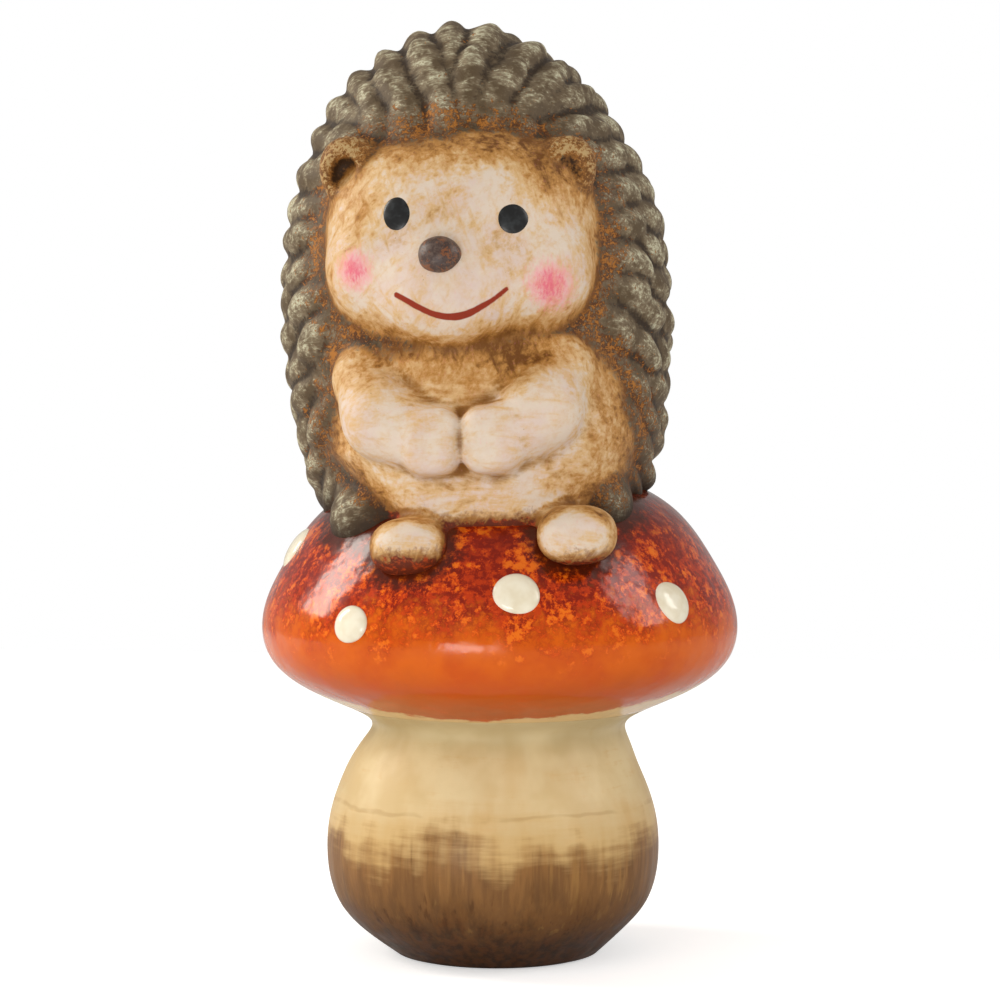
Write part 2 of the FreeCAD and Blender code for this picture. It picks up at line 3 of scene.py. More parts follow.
import bpy
import numpy as np
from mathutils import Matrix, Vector


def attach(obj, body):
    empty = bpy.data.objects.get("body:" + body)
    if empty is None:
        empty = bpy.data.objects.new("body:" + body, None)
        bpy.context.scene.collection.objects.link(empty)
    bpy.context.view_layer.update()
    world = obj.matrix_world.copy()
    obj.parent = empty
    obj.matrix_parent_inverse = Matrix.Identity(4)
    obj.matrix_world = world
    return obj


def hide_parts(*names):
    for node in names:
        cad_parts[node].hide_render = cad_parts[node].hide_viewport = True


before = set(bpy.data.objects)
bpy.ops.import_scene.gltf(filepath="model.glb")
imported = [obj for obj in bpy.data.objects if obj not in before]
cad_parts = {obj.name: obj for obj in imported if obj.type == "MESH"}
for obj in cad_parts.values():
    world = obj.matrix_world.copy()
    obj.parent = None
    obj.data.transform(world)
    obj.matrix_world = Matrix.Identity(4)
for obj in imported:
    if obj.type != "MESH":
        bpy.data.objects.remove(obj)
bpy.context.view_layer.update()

# Sizes are in mm, and MM turns them into Blender's metres
MM = 0.001
PER_METRE = 1000.0
SEED = 7

# Camera: the photograph's viewing angle, in mm and degrees
CAMERA_DISTANCE = 600.0
CAMERA_TURN = 7.0
CAMERA_LEVEL = 118.0
AIM_LEVEL = 86.6
LENS = 113.3
CLIP_NEAR = 0.01
CLIP_FAR = 20.0

# Mushroom outlines as radius and level
STALK_OUTLINE = [
    (19.0, 0.0), (24.97, 4.92), (29.16, 9.64), (31.7, 20.5),
    (30.95, 27.4), (27.95, 35.7), (25.25, 41.1), (24.2, 43.6), (28.6, 47.3),
]
CAP_OUTLINE = [
    (28.6, 47.3), (34.3, 49.8), (39.3, 52.5), (43.6, 56.6), (45.3, 62.0),
    (44.85, 66.4), (40.8, 75.2), (34.4, 84.0), (23.6, 90.4), (12.2, 92.7), (0.0, 93.5),
]
CAP_RIM = 4
CAP_JOINT = [(0.01, 47.31), (28.5, 47.31), (28.62, 47.31), (28.65, 47.32)]
FOOT_EDGE = [(18.2, 0.0), (18.9, 0.25)]
FOOT_EDGE_TOP = 0.3
JOINT_RADIUS, JOINT_LEVEL = STALK_OUTLINE[-1]
JOINT_INSET = 0.2
JOINT_CHAMFER = 0.02
RIM_LEVEL = CAP_OUTLINE[CAP_RIM][1]
CAP_TOP = CAP_OUTLINE[-1][1]
CAP_SHRINK = 0.9985
AXIS_RADIUS = 0.01
POUR_HOLE_RADIUS = 9.0
POUR_HOLE_EASE = 0.4
WALL = 4.0
OUTLINE_STEPS = 14
STALK_TURNS = 220
CAP_TURNS = 300

# The stalk's bulge leans to one side, and both casts are slightly out of round
STALK_SHIFT = 1.4
SHIFT_LEVEL = 21.0
SHIFT_REACH = (26.0, 14.0)
UNEVEN = 0.004
WAVE_RADIUS = 20.0
WAVE_RISE = 9.0

# Spots: degrees round the cap, share of the rise from rim to top, and share of the radius
SPOT_TURNS = (-75, -30, 11, 53, 112, 142, 171, -152, -112)
SPOT_RISES = (0.50, 0.13, 0.33, 0.24, 0.40, 0.18, 0.44, 0.16, 0.30)
SPOT_SIZES = (1.12, 0.86, 1.0, 1.0, 1.0, 0.92, 1.05, 0.95, 1.0)
SPOT_RADIUS = 4.1
SPOT_HEIGHT = 1.1
SPOT_BED = 0.996
SPOT_POINTS = 40
SPOT_RINGS = 12
SPOT_WRAP = 1.16
SPOT_WAVES = (0.035, 0.02)
SPOT_SAG = (95.0, 45.0)

# Hedgehog's seat: it leans to its right and sits a little off the mushroom's axis
SEAT_LEVEL = 88.0
SEAT = (-3.4, -1.0)
LEAN = math.radians(2.0)
SEAT_SINK = 1.0
SEAT_SLOPE = 0.8
SEAT_BOX_HIGH = (99, 99, 97)

# Egg of the coat, whose crown sways to the right and whose hems lie beside the feet
EGG_WIDTH = 36.0
EGG_DEPTH = 34.0
EGG_BACK = 2.0
EGG_LEVEL = 123.0
EGG_RISE = 52.2
EGG_DROP = 65.0
CROWN_SWAY = 1.2
SWAY_LEVEL = 140.0
SWAY_RISE = 20.0
HEMS = (
    ((-17.0, -18.5, 84.6), (9.0, 9.6, 7.4)),
    ((24.6, -17.0, 86.0), (5.6, 9.0, 6.0)),
)
HEM_POWER = 2.2
HEM_ROUNDING = 4.0

# Head; pairs are the hedgehog's right and left
HEAD = ((0.6, -16.0, 134.4), (25.2, 21.5, 21.4), 2.5)
MUZZLE = ((0.0, -33.2, 126.6), (12.5, 8.6, 9.5), 2.0)
CHEEK_HALVES = (8.6, 8.0, 8.0)
CHEEKS = ((-13.9, -28.0, 130.6), (15.6, -27.8, 128.6))
NOSE_AT = (-0.85, 132.4)
NOSE_HALVES = (3.8, 3.0, 3.5)
EYES_AT = ((-8.9, 139.9), (12.1, 138.2))
EYE_HALVES = ((2.62, 0.8, 3.25), (2.8, 0.8, 2.92))
EYE_SINK = 0.35
NOSE_SINK = 0.2
EYE_LUMPS = 0.012
NOSE_LUMPS = 0.022
BEAD_POINTS = 64
BEAD_RINGS = 31
EARS = ((-19.0, -24.6, 149.0), (20.9, -23.7, 147.9))
EAR_TURNS = (math.radians(-20.0), math.radians(20.0))
EAR_HALVES = ((5.6, 4.8, 6.0), (5.2, 4.7, 5.6))
EAR_HOLLOWS = (((0.9, -4.0, -1.3), (3.2, 3.8, 3.5)), ((-1.0, -4.4, -1.2), (3.2, 2.2, 3.5)))
EAR_POWER = 2.2
EAR_LIP = 1.6

# Trunk and limbs
BELLY = ((2.2, -8.5, 97.0), (28.0, 27.0, 28.0), 2.5)
BELLY_SLIMMING = (0.033, 0.010)
CHEST = ((1.6, -14.0, 111.5), (23.0, 17.4, 13.0), 2.4)
SHOULDERS = ((-17.3, -25.0, 110.6), (18.2, -25.2, 111.2))
ELBOWS = ((-13.2, -31.8, 103.4), (15.4, -31.8, 104.0))
WRISTS = ((-6.0, -34.8, 99.6), (9.0, -34.8, 99.6))
ARM_RADII = (6.3, 6.5, 5.6)
HANDS = ((-3.75, -36.0, 99.2), (6.75, -36.0, 99.2))
HAND_HALVES = (5.25, 4.7, 6.1)
HAND_POWER = 3.2
FEET = ((-9.0, -34.0, 80.1), (21.4, -34.0, 81.5))
FOOT_HALVES = (7.2, 7.0, 5.4)
FOOT_POWER = 2.3
FLESH_ROUNDING = 5.0

# Painted mouth, as sideways place and level, its half width and how much its ends thin
MOUTH = (
    (-8.9, 125.5), (-6.3, 124.0), (-3.1, 122.25), (-0.75, 121.45), (1.6, 121.25),
    (3.9, 121.7), (6.25, 122.85), (8.6, 124.2), (10.8, 125.9),
)
MOUTH_POINTS = 90
MOUTH_HALF = 0.68
MOUTH_THINNING = (0.08, 0.24)

# Quill tufts: rings of long leaves that open out from a point on the brow
BROW = math.radians(20.0)
FIRST_RING = 29.0
RING_STEP = 14.6
RING_COUNT = 11
RING_POINTS = 241
LAST_CROWN_RING = 1
TUFT_PITCH = 6.5
TUFT_CORE = 3.2
TUFT_SINK = 1.5
TUFT_LIFT = 0.75
TUFT_ROUNDING = 1.0
TUFT_MARGIN = 2.5
LEAF_POWER = 1.55
RIDGE_POWER = 1.75
PROBE = 0.09
CROWN_STYLE = {"twist": 1.0, "length": 0.86, "width": 0.6, "lift": 0.9, "size": 0.86}
BACK_STYLE = {"twist": 0.6, "length": 0.78, "width": 0.58, "lift": 1.5, "size": 1.0}

# How far the tufts differ: slip is a share of the pitch, wander is in degrees
SLIP = 0.17
WANDER = 2.4
TWIST = 0.3
LENGTHS = (0.88, 1.18)
WIDTHS = (0.86, 1.12)
SIZES = (0.84, 1.12)
TAPERS = (-0.05, 0.35)

# No tufts where the face and the trunk cover the coat
BARE_FRONT = -19.0
BARE_HALF = 27.0
BARE_TOP = 141.0

# Grid of the sculpt
VOXEL = 0.5
GRID_LOW = np.array([-42.0, -47.0, 70.0])
GRID_HIGH = np.array([42.0, 42.0, 181.0])
FAR = 8
LEAST_SLOPE = 1 / 60
LEAST_TUFT_SLOPE = 1 / 30
TINY = 1e-9

# Rounds of easing that leave the fine, the broad and the wide form
EASING = 0.6
FINE_ROUNDS = 3
BROAD_ROUNDS = 24
WIDE_ROUNDS = 90

# Where the paint goes: brow patch, foot soles, rouge, and stains as place, size and strength
BROW_PATCH = (-5.0, 151.5)
BROW_PATCH_HALVES = (8.0, 3.2)
BROW_PATCH_DEPTH = 3.2
FOOT_PAINT_LEVELS = (76.6, 75.2)
ROUGE = ((-16.9, 130.2, 4.4), (18.2, 126.4, 5.2))
STAINS = (
    ((-22.0, -25.0, 98.0), 10.0, 0.75),
    ((23.0, -25.0, 97.0), 9.0, 0.7),
    (EARS[0], 10.5, 1.0),
    (EARS[1], 12.0, 1.1),
    ((0.0, -31.0, 113.5), 13.0, 0.58),
    ((11.0, -31.0, 114.0), 8.5, 1.35),
    ((-16.0, -32.0, 143.0), 12.0, 0.66),
    ((17.0, -28.0, 147.0), 8.5, 1.25),
    ((4.5, -36.0, 137.0), 5.0, 0.36),
    ((12.5, -36.0, 123.0), 4.5, 0.45),
    ((-10.5, -36.0, 124.5), 3.5, 0.4),
)

# Paints and glazes
TONES = {
    "coat dark": (90, 74, 53), "coat": (124, 108, 86), "coat brushed": (150, 138, 112),
    # The foot tone is partly brown paint and partly painted shade, where the coat meets the cap
    "coat ridge": (206, 203, 174), "coat crease": (44, 31, 19), "coat seat brown and shade": (50, 34, 20),
    "rust": (88, 48, 16), "ochre": (178, 114, 44),
    "skin": (219, 202, 184), "skin pink": (215, 194, 183), "skin wash": (206, 180, 140),
    "skin crease": (118, 74, 26), "skin speck": (122, 88, 50),
    "stain pale": (212, 168, 98), "stain": (178, 122, 50), "stain dark": (96, 54, 16),
    "rouge pale": (238, 146, 160), "rouge": (224, 88, 118), "mouth": (142, 46, 24),
    "run brown": (146, 98, 44), "run dark": (92, 28, 10), "run red": (158, 56, 14),
    "ear": (108, 70, 34), "ear tan": (150, 100, 46), "ear rim": (190, 164, 116),
    "ear hollow": (44, 26, 10),
    # The darker underside orange is painted shade
    "orange": (214, 96, 2), "orange deep": (200, 80, 0), "orange under shade": (172, 68, 0),
    "orange dab": (196, 76, 4), "red dark": (130, 26, 0), "red": (186, 54, 4),
    "fleck": (212, 78, 6), "fleck bright": (230, 114, 18), "crown": (94, 16, 2),
    # The seat tone is a painted shadow round the hedgehog where it sits on the cap
    "cap seat shadow": (70, 26, 10), "cap speck": (120, 40, 8), "cap underside": (216, 182, 128),
    "spot": (238, 230, 208), "spot shade": (226, 214, 186),
    "stalk": (220, 199, 154), "stalk deep": (207, 181, 132), "stalk tan": (200, 160, 98),
    "stalk brushed": (206, 166, 108), "stalk wash": (140, 97, 52),
    "stalk brown": (114, 76, 41), "stalk streak": (98, 63, 33),
    "gouge dark": (80, 50, 24), "gouge pale": (166, 124, 68),
    "foot brown": (74, 40, 12), "foot dark": (44, 22, 5),
    # The last stalk tone is a painted shadow under the cap, on the stalk's neck
    "ring": (160, 118, 66), "under_cap_shadow": (172, 157, 116),
    # The grey eye tone is a painted sheen on the black
    "eye": (14, 14, 15), "eye worn": (52, 56, 58),
    "nose": (62, 44, 38), "nose worn": (104, 86, 76), "nose rust": (136, 78, 38),
}
MATT = 0.22
SATIN = 0.18
GLAZE = 0.28
GLOSS = 0.5
SEAM_RISE = 0.003
RING_LEVEL = 30.6

# Turns of the brush strokes, in radians
CROSSED = ((0.5, 0.4, 0.3), (-0.7, 0.9, 1.1), (1.4, -0.3, 0.6), (0.9, 1.6, 2.0))
SWEPT = ((1.3, 0.0, 1.2), (1.8, 0.0, 1.9), (1.5, 0.5, 1.5))
LEVEL = ((0.0, 1.57, 0.1), (0.2, 1.4, -0.2), (-0.1, 1.7, 0.25))
HANGING = ((0.35, 0.3, 0.0), (-0.3, -0.4, 0.0), (0.9, 0.5, 0.4))
STROKE_ROUGHNESS = 0.55

# The Mix node's sockets for colours
MIX_INPUTS = (0, 6, 7)
MIX_OUTPUT = 2

# Studio, in metres
FLOOR_HALVES = (0.55, 0.55)
FLOOR_COLOR = (0.85, 0.85, 0.85, 1)
FLOOR_ROUGHNESS = 0.8
FLOOR_GLOW = 0.5
WHITE = (1, 1, 1, 1)
AMBIENT_COLOR = (1, 0.98, 0.95, 1)
AMBIENT = 0.46
AIM = (0, 0, 0.09)
LAMPS = (
    ("left_window", (-0.75, 0.08, 0.5), AIM, (0.24, 0.44), 4.2, (1.0, 0.95, 0.87), True),
    ("right_window", (0.78, -0.05, 0.5), AIM, (0.28, 0.5), 2.4, (1.0, 0.97, 0.94), True),
    ("front", (-0.45, -1.0, 0.65), AIM, (0.9, 0.9), 3.9, (1.0, 0.97, 0.92), False),
    ("low", (-0.05, -0.32, 0.03), (0, -0.04, 0.056), (0.13, 0.05), 0.2, (1.0, 1.0, 1.0), True),
)

rng = np.random.default_rng(SEED)


def put(name, data, place=(0, 0, 0), aim=None):
    """Object in the scene, turned to look at a point where one is given, in metres."""
    thing = bpy.data.objects.new(name, data)
    thing.location = place
    if aim is not None:
        thing.rotation_mode = "QUATERNION"
        thing.rotation_quaternion = (Vector(aim) - Vector(place)).to_track_quat("-Z", "Y")
    bpy.context.scene.collection.objects.link(thing)
    return thing


def make_camera():
    data = bpy.data.cameras.new("camera")
    data.lens = LENS
    data.clip_start = CLIP_NEAR
    data.clip_end = CLIP_FAR
    turn = math.radians(CAMERA_TURN)
    across, back = math.sin(turn) * CAMERA_DISTANCE, math.cos(turn) * CAMERA_DISTANCE
    place = Vector((across, -back, CAMERA_LEVEL)) * MM
    bpy.context.scene.camera = put("camera", data, place, (0, 0, AIM_LEVEL * MM))


make_camera()
bpy.context.scene.view_settings.view_transform = "Standard"


# Distance fields: points are three arrays in the hedgehog's upright frame
def soft(value, low, high):
    """0 below low, 1 above high, eased in between."""
    share = np.clip((value - low) / (high - low), 0, 1)
    return share * share * (3 - 2 * share)


def block(p, centre, halves, power):
    """Rounded block: an ellipsoid at power 2, squarer above it."""
    q = [np.abs(p[i] - centre[i]) / halves[i] for i in range(3)]
    total = np.maximum(q[0] ** power + q[1] ** power + q[2] ** power, TINY)
    reach = total ** (1 / power)
    slope = sum((q[i] ** (power - 1) / halves[i]) ** 2 for i in range(3))
    slope = np.sqrt(slope) * reach ** (1 - power)
    return (reach - 1) / np.maximum(slope, LEAST_SLOPE)


def bone(p, a, b, radius_a, radius_b):
    """Sausage between two points with a radius at each end."""
    ab = np.array(b) - np.array(a)
    q = [p[i] - a[i] for i in range(3)]
    way = sum(q[i] * ab[i] for i in range(3)) / float(ab @ ab)
    way = np.clip(way, 0, 1)
    off = [q[i] - way * ab[i] for i in range(3)]
    length = np.sqrt(off[0] ** 2 + off[1] ** 2 + off[2] ** 2)
    return length - (radius_a + (radius_b - radius_a) * way)


def join(a, b, round_mm):
    """Both forms as one, with a rounded valley between them."""
    h = np.maximum(round_mm - np.abs(a - b), 0) / round_mm
    return np.minimum(a, b) - h * h * round_mm / 4


def carve(a, tool, round_mm):
    """The first form less the second, with a rounded edge."""
    return -join(-a, tool, round_mm)


def sway(level):
    """How far the crown has moved to the right at a level."""
    return CROWN_SWAY * np.clip((level - SWAY_LEVEL) / SWAY_RISE, 0, 1)


def egg(p):
    x, y, z = p[0] + sway(p[2]), p[1] - EGG_BACK, p[2] - EGG_LEVEL
    tall = np.where(z >= 0, EGG_RISE, EGG_DROP)
    reach = np.sqrt((x / EGG_WIDTH) ** 2 + (y / EGG_DEPTH) ** 2 + (z / tall) ** 2)
    slope = np.sqrt((x / EGG_WIDTH**2) ** 2 + (y / EGG_DEPTH**2) ** 2 + (z / tall**2) ** 2)
    body = (reach - 1) * reach / np.maximum(slope, LEAST_SLOPE)
    for hem in HEMS:
        body = join(body, block(p, *hem, HEM_POWER), HEM_ROUNDING)
    return body


def head_field(p):
    head = block(p, *HEAD)
    for cheek in CHEEKS:
        head = join(head, block(p, cheek, CHEEK_HALVES, 2.0), FLESH_ROUNDING)
    return join(head, block(p, *MUZZLE), FLESH_ROUNDING)


def belly_field(p):
    """The trunk slims below its middle, more on the hedgehog's right."""
    x, y, z = p
    middle, _, level = BELLY[0]
    drop = np.maximum(level - z, 0)
    slim = 1 + drop * np.where(x < middle, *BELLY_SLIMMING)
    trunk = block([(x - middle) * slim + middle, y, z], *BELLY)
    return join(trunk, block(p, *CHEST), FLESH_ROUNDING)


def arm_field(p, side):
    shoulder, elbow, wrist = ARM_RADII
    upper = bone(p, SHOULDERS[side], ELBOWS[side], shoulder, elbow)
    lower = bone(p, ELBOWS[side], WRISTS[side], elbow, wrist)
    return join(upper, lower, FLESH_ROUNDING)


def hand_field(p, side):
    return block(p, HANDS[side], HAND_HALVES, HAND_POWER)


def foot_field(p, side):
    return block(p, FEET[side], FOOT_HALVES, FOOT_POWER)


def ear_field(p, side):
    x, y, z = EARS[side]
    c, s = math.cos(EAR_TURNS[side]), math.sin(EAR_TURNS[side])
    q = [(p[0] - x) * c + (p[1] - y) * s, -(p[0] - x) * s + (p[1] - y) * c, p[2] - z]
    cup = block(q, (0, 0, 0), EAR_HALVES[side], EAR_POWER)
    return carve(cup, block(q, *EAR_HOLLOWS[side], 2.0), EAR_LIP)


# Each part's field, the rounding of its joins, and the box that holds it
PARTS = {
    "head": (head_field, 1.8, (-29, -46, 108), (31, 8, 160)),
    "belly": (belly_field, 3.0, (-29, -40, 66), (34, 22, 131)),
    "arm_right": (lambda p: arm_field(p, 0), 1.8, (-32, -45, 90), (4, -10, 122)),
    "arm_left": (lambda p: arm_field(p, 1), 1.8, (0, -45, 90), (36, -10, 122)),
    "hand_right": (lambda p: hand_field(p, 0), 1.7, (-12, -45, 90), (4, -28, 108)),
    "hand_left": (lambda p: hand_field(p, 1), 1.7, (-1, -45, 90), (15, -28, 108)),
    "foot_right": (lambda p: foot_field(p, 0), 2.6, (-19, -44, 71), (1, -24, 90)),
    "foot_left": (lambda p: foot_field(p, 1), 2.6, (11, -44, 72), (31, -24, 92)),
    "ear_right": (lambda p: ear_field(p, 0), 2.6, (-29, -33, 140), (-10, -14, 160)),
    "ear_left": (lambda p: ear_field(p, 1), 3.2, (12, -33, 138), (32, -14, 158)),
}


def quill_aim(away, around):
    """Way out from the egg's middle at angles from the brow and round it."""
    brow = np.array([0, -math.cos(BROW), math.sin(BROW)])
    up = np.array([0, math.sin(BROW), math.cos(BROW)])
    side = np.array([math.sin(around), 0, 0]) + up * math.cos(around)
    return brow * math.cos(away) + side * math.sin(away)


def egg_point(aim):
    """Point of the egg that a way out meets, and the way straight out of the egg there."""
    tall = EGG_RISE if aim[2] >= 0 else EGG_DROP
    halves = np.array([EGG_WIDTH, EGG_DEPTH, tall])
    reach = 1 / math.sqrt(((aim / halves) ** 2).sum())
    out = aim * reach / halves**2
    spot = aim * reach + np.array([0, EGG_BACK, EGG_LEVEL])
    return spot - np.array([sway(spot[2]), 0, 0]), out / np.linalg.norm(out)


def make_tufts():
    """Centre, along, across, out, half length, half width, size, taper and lift of every tuft."""
    tufts = []
    arounds = np.linspace(0, 2 * math.pi, RING_POINTS)
    for ring in range(RING_COUNT):
        style = BACK_STYLE if ring > LAST_CROWN_RING else CROWN_STYLE
        away = math.radians(FIRST_RING + RING_STEP * ring)
        points = np.array([egg_point(quill_aim(away, a))[0] for a in arounds])
        steps = np.linalg.norm(np.diff(points, axis=0), axis=1)
        lengths = np.concatenate([[0], np.cumsum(steps)])
        count = max(3, round(lengths[-1] / TUFT_PITCH))
        for i in range(count):
            number = (i + 0.5 * (ring % 2) + rng.uniform(-SLIP, SLIP)) % count
            around = float(np.interp(lengths[-1] * number / count, lengths, arounds))
            spot = away + math.radians(rng.uniform(-WANDER, WANDER))
            near = egg_point(quill_aim(spot - PROBE, around))[0]
            far = egg_point(quill_aim(spot + PROBE, around))[0]
            centre, out = egg_point(quill_aim(spot, around))
            gap = np.linalg.norm(far - near)
            along = (far - near) / gap
            across = np.cross(out, along)
            twist = rng.uniform(-TWIST, TWIST) * style["twist"]
            along = along * math.cos(twist) + across * math.sin(twist)
            across = np.cross(out, along)
            spacing = gap / (2 * PROBE) * math.radians(RING_STEP)
            half_length = spacing * style["length"] * rng.uniform(*LENGTHS)
            half_width = lengths[-1] / count * style["width"] * rng.uniform(*WIDTHS)
            size = rng.uniform(*SIZES) * style["size"]
            taper = rng.uniform(*TAPERS)
            lift = TUFT_LIFT * style["lift"]
            x, y, z = centre
            if not (y < BARE_FRONT and abs(x) < BARE_HALF and z < BARE_TOP):
                tufts.append(
                    (centre, along, across, out, half_length, half_width, size, taper, lift)
                )
    return tufts


TUFTS = make_tufts()


def tuft_reach(tuft):
    """Distance from its centre beyond which a tuft changes nothing."""
    return max(tuft[4], tuft[5]) + TUFT_MARGIN


def tuft_field(p, tuft):
    centre, along, across, out, half_length, half_width, size, taper, lift = tuft
    q = [p[i] - centre[i] for i in range(3)]
    u, v, w = (q[0] * way[0] + q[1] * way[1] + q[2] * way[2] for way in (along, across, out))
    u = u / half_length
    v = v / (half_width * (1 + taper * np.clip(u, -1, 1)))
    w = (w + TUFT_SINK - lift * np.clip(u, -1, 1)) / (TUFT_CORE * size)
    ridge = (np.abs(v) ** RIDGE_POWER + np.abs(w) ** RIDGE_POWER) ** (2 / RIDGE_POWER)
    reach = np.sqrt(np.abs(u) ** LEAF_POWER + ridge)
    slope = np.sqrt((u / half_length) ** 2 + (v / half_width) ** 2 + (w / TUFT_CORE) ** 2)
    return (reach - 1) * reach / np.maximum(slope, LEAST_TUFT_SLOPE)


def window(axes, low, high):
    """Part of the grid inside a box, and its points."""
    ends = [np.searchsorted(axes[i], (low[i], high[i])) for i in range(3)]
    cut = tuple(slice(start, stop) for start, stop in ends)
    x, y, z = (axes[i][cut[i]] for i in range(3))
    return cut, [x[:, None, None], y[None, :, None], z[None, None, :]]


def cap_level(radius):
    """Level of the cap's dome at a radius."""
    outline = np.array(CAP_OUTLINE[CAP_RIM:])[::-1]
    return np.interp(radius, outline[:, 0], outline[:, 1])


def seat(points):
    """From the hedgehog's upright frame to the row's."""
    c, s = math.cos(LEAN), math.sin(LEAN)
    rise = points[2] - SEAT_LEVEL
    x = points[0] * c - rise * s + SEAT[0]
    z = points[0] * s + rise * c + SEAT_LEVEL
    return [x, points[1] + SEAT[1] + 0 * x, z]


def unseat(points):
    """From the row's frame to the hedgehog's upright frame."""
    c, s = math.cos(LEAN), math.sin(LEAN)
    x, y, z = points[0] - SEAT[0], points[1] - SEAT[1], points[2] - SEAT_LEVEL
    return [x * c + z * s, y, z * c - x * s + SEAT_LEVEL]


def sculpt():
    """The whole hedgehog's field on the grid, open where the cap carries it."""
    axes = [np.arange(GRID_LOW[i], GRID_HIGH[i], VOXEL).astype(np.float32) for i in range(3)]
    _, p = window(axes, GRID_LOW - 1, GRID_HIGH + 1)
    field = np.clip(egg(p), -FAR, FAR).astype(np.float32)
    for tuft in TUFTS:
        centre, size = tuft[0], tuft_reach(tuft)
        cut, q = window(axes, centre - size, centre + size)
        field[cut] = join(field[cut], tuft_field(q, tuft).astype(np.float32), TUFT_ROUNDING)
    for part, rounding, low, high in PARTS.values():
        cut, q = window(axes, low, high)
        field[cut] = join(field[cut], np.clip(part(q), -FAR, FAR).astype(np.float32), rounding)
    cut, q = window(axes, GRID_LOW - 1, SEAT_BOX_HIGH)
    x, y, z = seat(q)
    below = cap_level(np.hypot(x, y)) - SEAT_SINK - z
    field[cut] = np.maximum(field[cut], below.astype(np.float32) * SEAT_SLOPE)
    field[:, :, 0] = FAR
    return axes, field


def surface_net(axes, field):
    """Vertices and quads of the zero level, one vertex in every cell that it crosses."""
    inside = field < 0
    shape = np.array(field.shape) - 1
    corners = [(i, j, k) for i in (0, 1) for j in (0, 1) for k in (0, 1)]
    count = np.zeros(shape, np.int8)
    for i, j, k in corners:
        count += inside[i : i + shape[0], j : j + shape[1], k : k + shape[2]]
    cells = np.argwhere((count > 0) & (count < len(corners)))
    number = np.full(shape, -1, np.int32)
    number[tuple(cells.T)] = np.arange(len(cells))
    values = {c: field[tuple((cells + np.array(c)).T)] for c in corners}
    total = np.zeros((len(cells), 3))
    hits = np.zeros(len(cells))
    for a in corners:
        for axis in range(3):
            if a[axis]:
                continue
            b = tuple(1 if i == axis else a[i] for i in range(3))
            va, vb = values[a], values[b]
            crossed = (va < 0) != (vb < 0)
            total += np.array(a) * crossed[:, None]
            total[:, axis] += np.where(crossed, va / np.where(crossed, va - vb, 1), 0)
            hits += crossed
    start = np.array([axis[0] for axis in axes])
    verts = (cells + total / hits[:, None]) * VOXEL + start
    faces = []
    there = inside[1:, 1:, 1:]
    for axis in range(3):
        low = [slice(1, None)] * 3
        low[axis] = slice(0, -1)
        here = inside[tuple(low)]
        edges = np.argwhere(here != there)
        starts = here[tuple(edges.T)]
        base = edges + 1
        base[:, axis] -= 1
        ok = np.all(base < shape, axis=1)
        base, starts = base[ok], starts[ok]
        u, v = np.eye(3, dtype=int)[[(axis + 1) % 3, (axis + 2) % 3]]
        quad = np.stack([number[tuple((base - s).T)] for s in (0 * u, u, u + v, v)], 1)
        quad[~starts] = quad[~starts][:, ::-1]
        faces.append(quad)
    return verts, np.concatenate(faces)


def edges_of(faces):
    pairs = np.concatenate([faces[:, [i, (i + 1) % 4]] for i in range(4)])
    pairs.sort(axis=1)
    return np.unique(pairs, axis=0)


def eased(values, edges, rounds):
    """Every vertex's value drawn towards its neighbours' mean, round after round."""
    n = len(values)
    degree = np.bincount(edges.ravel(), minlength=n)
    for _ in range(rounds):
        fresh = np.empty_like(values)
        for c in range(values.shape[1]):
            total = np.bincount(edges[:, 0], values[edges[:, 1], c], n)
            total += np.bincount(edges[:, 1], values[edges[:, 0], c], n)
            fresh[:, c] = total / degree
        values = values * (1 - EASING) + fresh * EASING
    return values


def normals_of(verts, faces):
    a, b, c, d = (verts[faces[:, i]] for i in range(4))
    flat = np.cross(c - a, d - b)
    total = np.zeros_like(verts)
    for i in range(4):
        for axis in range(3):
            total[:, axis] += np.bincount(faces[:, i], flat[:, axis], len(verts))
    return total / np.maximum(np.linalg.norm(total, axis=1, keepdims=True), TINY)


def smile():
    """Fine points along the painted mouth, and half its width at each."""
    knots = np.array(MOUTH)
    t = np.linspace(0, len(knots) - 1, MOUTH_POINTS)
    low = np.clip(t.astype(int), 0, len(knots) - 2)
    s = (t - low)[:, None]
    ends = np.vstack([2 * knots[0] - knots[1], knots, 2 * knots[-1] - knots[-2]])
    p0, p1, p2, p3 = ends[low], ends[low + 1], ends[low + 2], ends[low + 3]
    bend = 2 * p0 - 5 * p1 + 4 * p2 - p3
    twist = 3 * p1 - p0 - 3 * p2 + p3
    line = 0.5 * (2 * p1 + (p2 - p0) * s + bend * s**2 + twist * s**3)
    way = t / t[-1]
    start, end = MOUTH_THINNING
    half = MOUTH_HALF - end * soft(way, 0.62, 1.0) - start * soft(-way, -0.1, 0)
    return line, half


def mouth_mask(verts):
    """Distance from the edge of the painted mouth, less than 0 on it."""
    x, y, z = verts.T
    mouth = np.full(len(verts), 5.0)
    near = np.nonzero((np.abs(x) < 15) & (y < -26) & (np.abs(z - 124) < 9))[0]
    line, half = smile()
    away = np.hypot(x[near][:, None] - line[:, 0], z[near][:, None] - line[:, 1]) - half
    mouth[near] = away.min(1)
    return mouth


def cheek_mask(verts):
    x, y, z = verts.T
    cheek = np.zeros(len(verts))
    for across, level, size in ROUGE:
        far = np.hypot((x - across) / 0.9, z - level) / size
        cheek = np.maximum(cheek, np.where(y < -18, 1 - soft(far, 0.1, 1.35), 0))
    return cheek


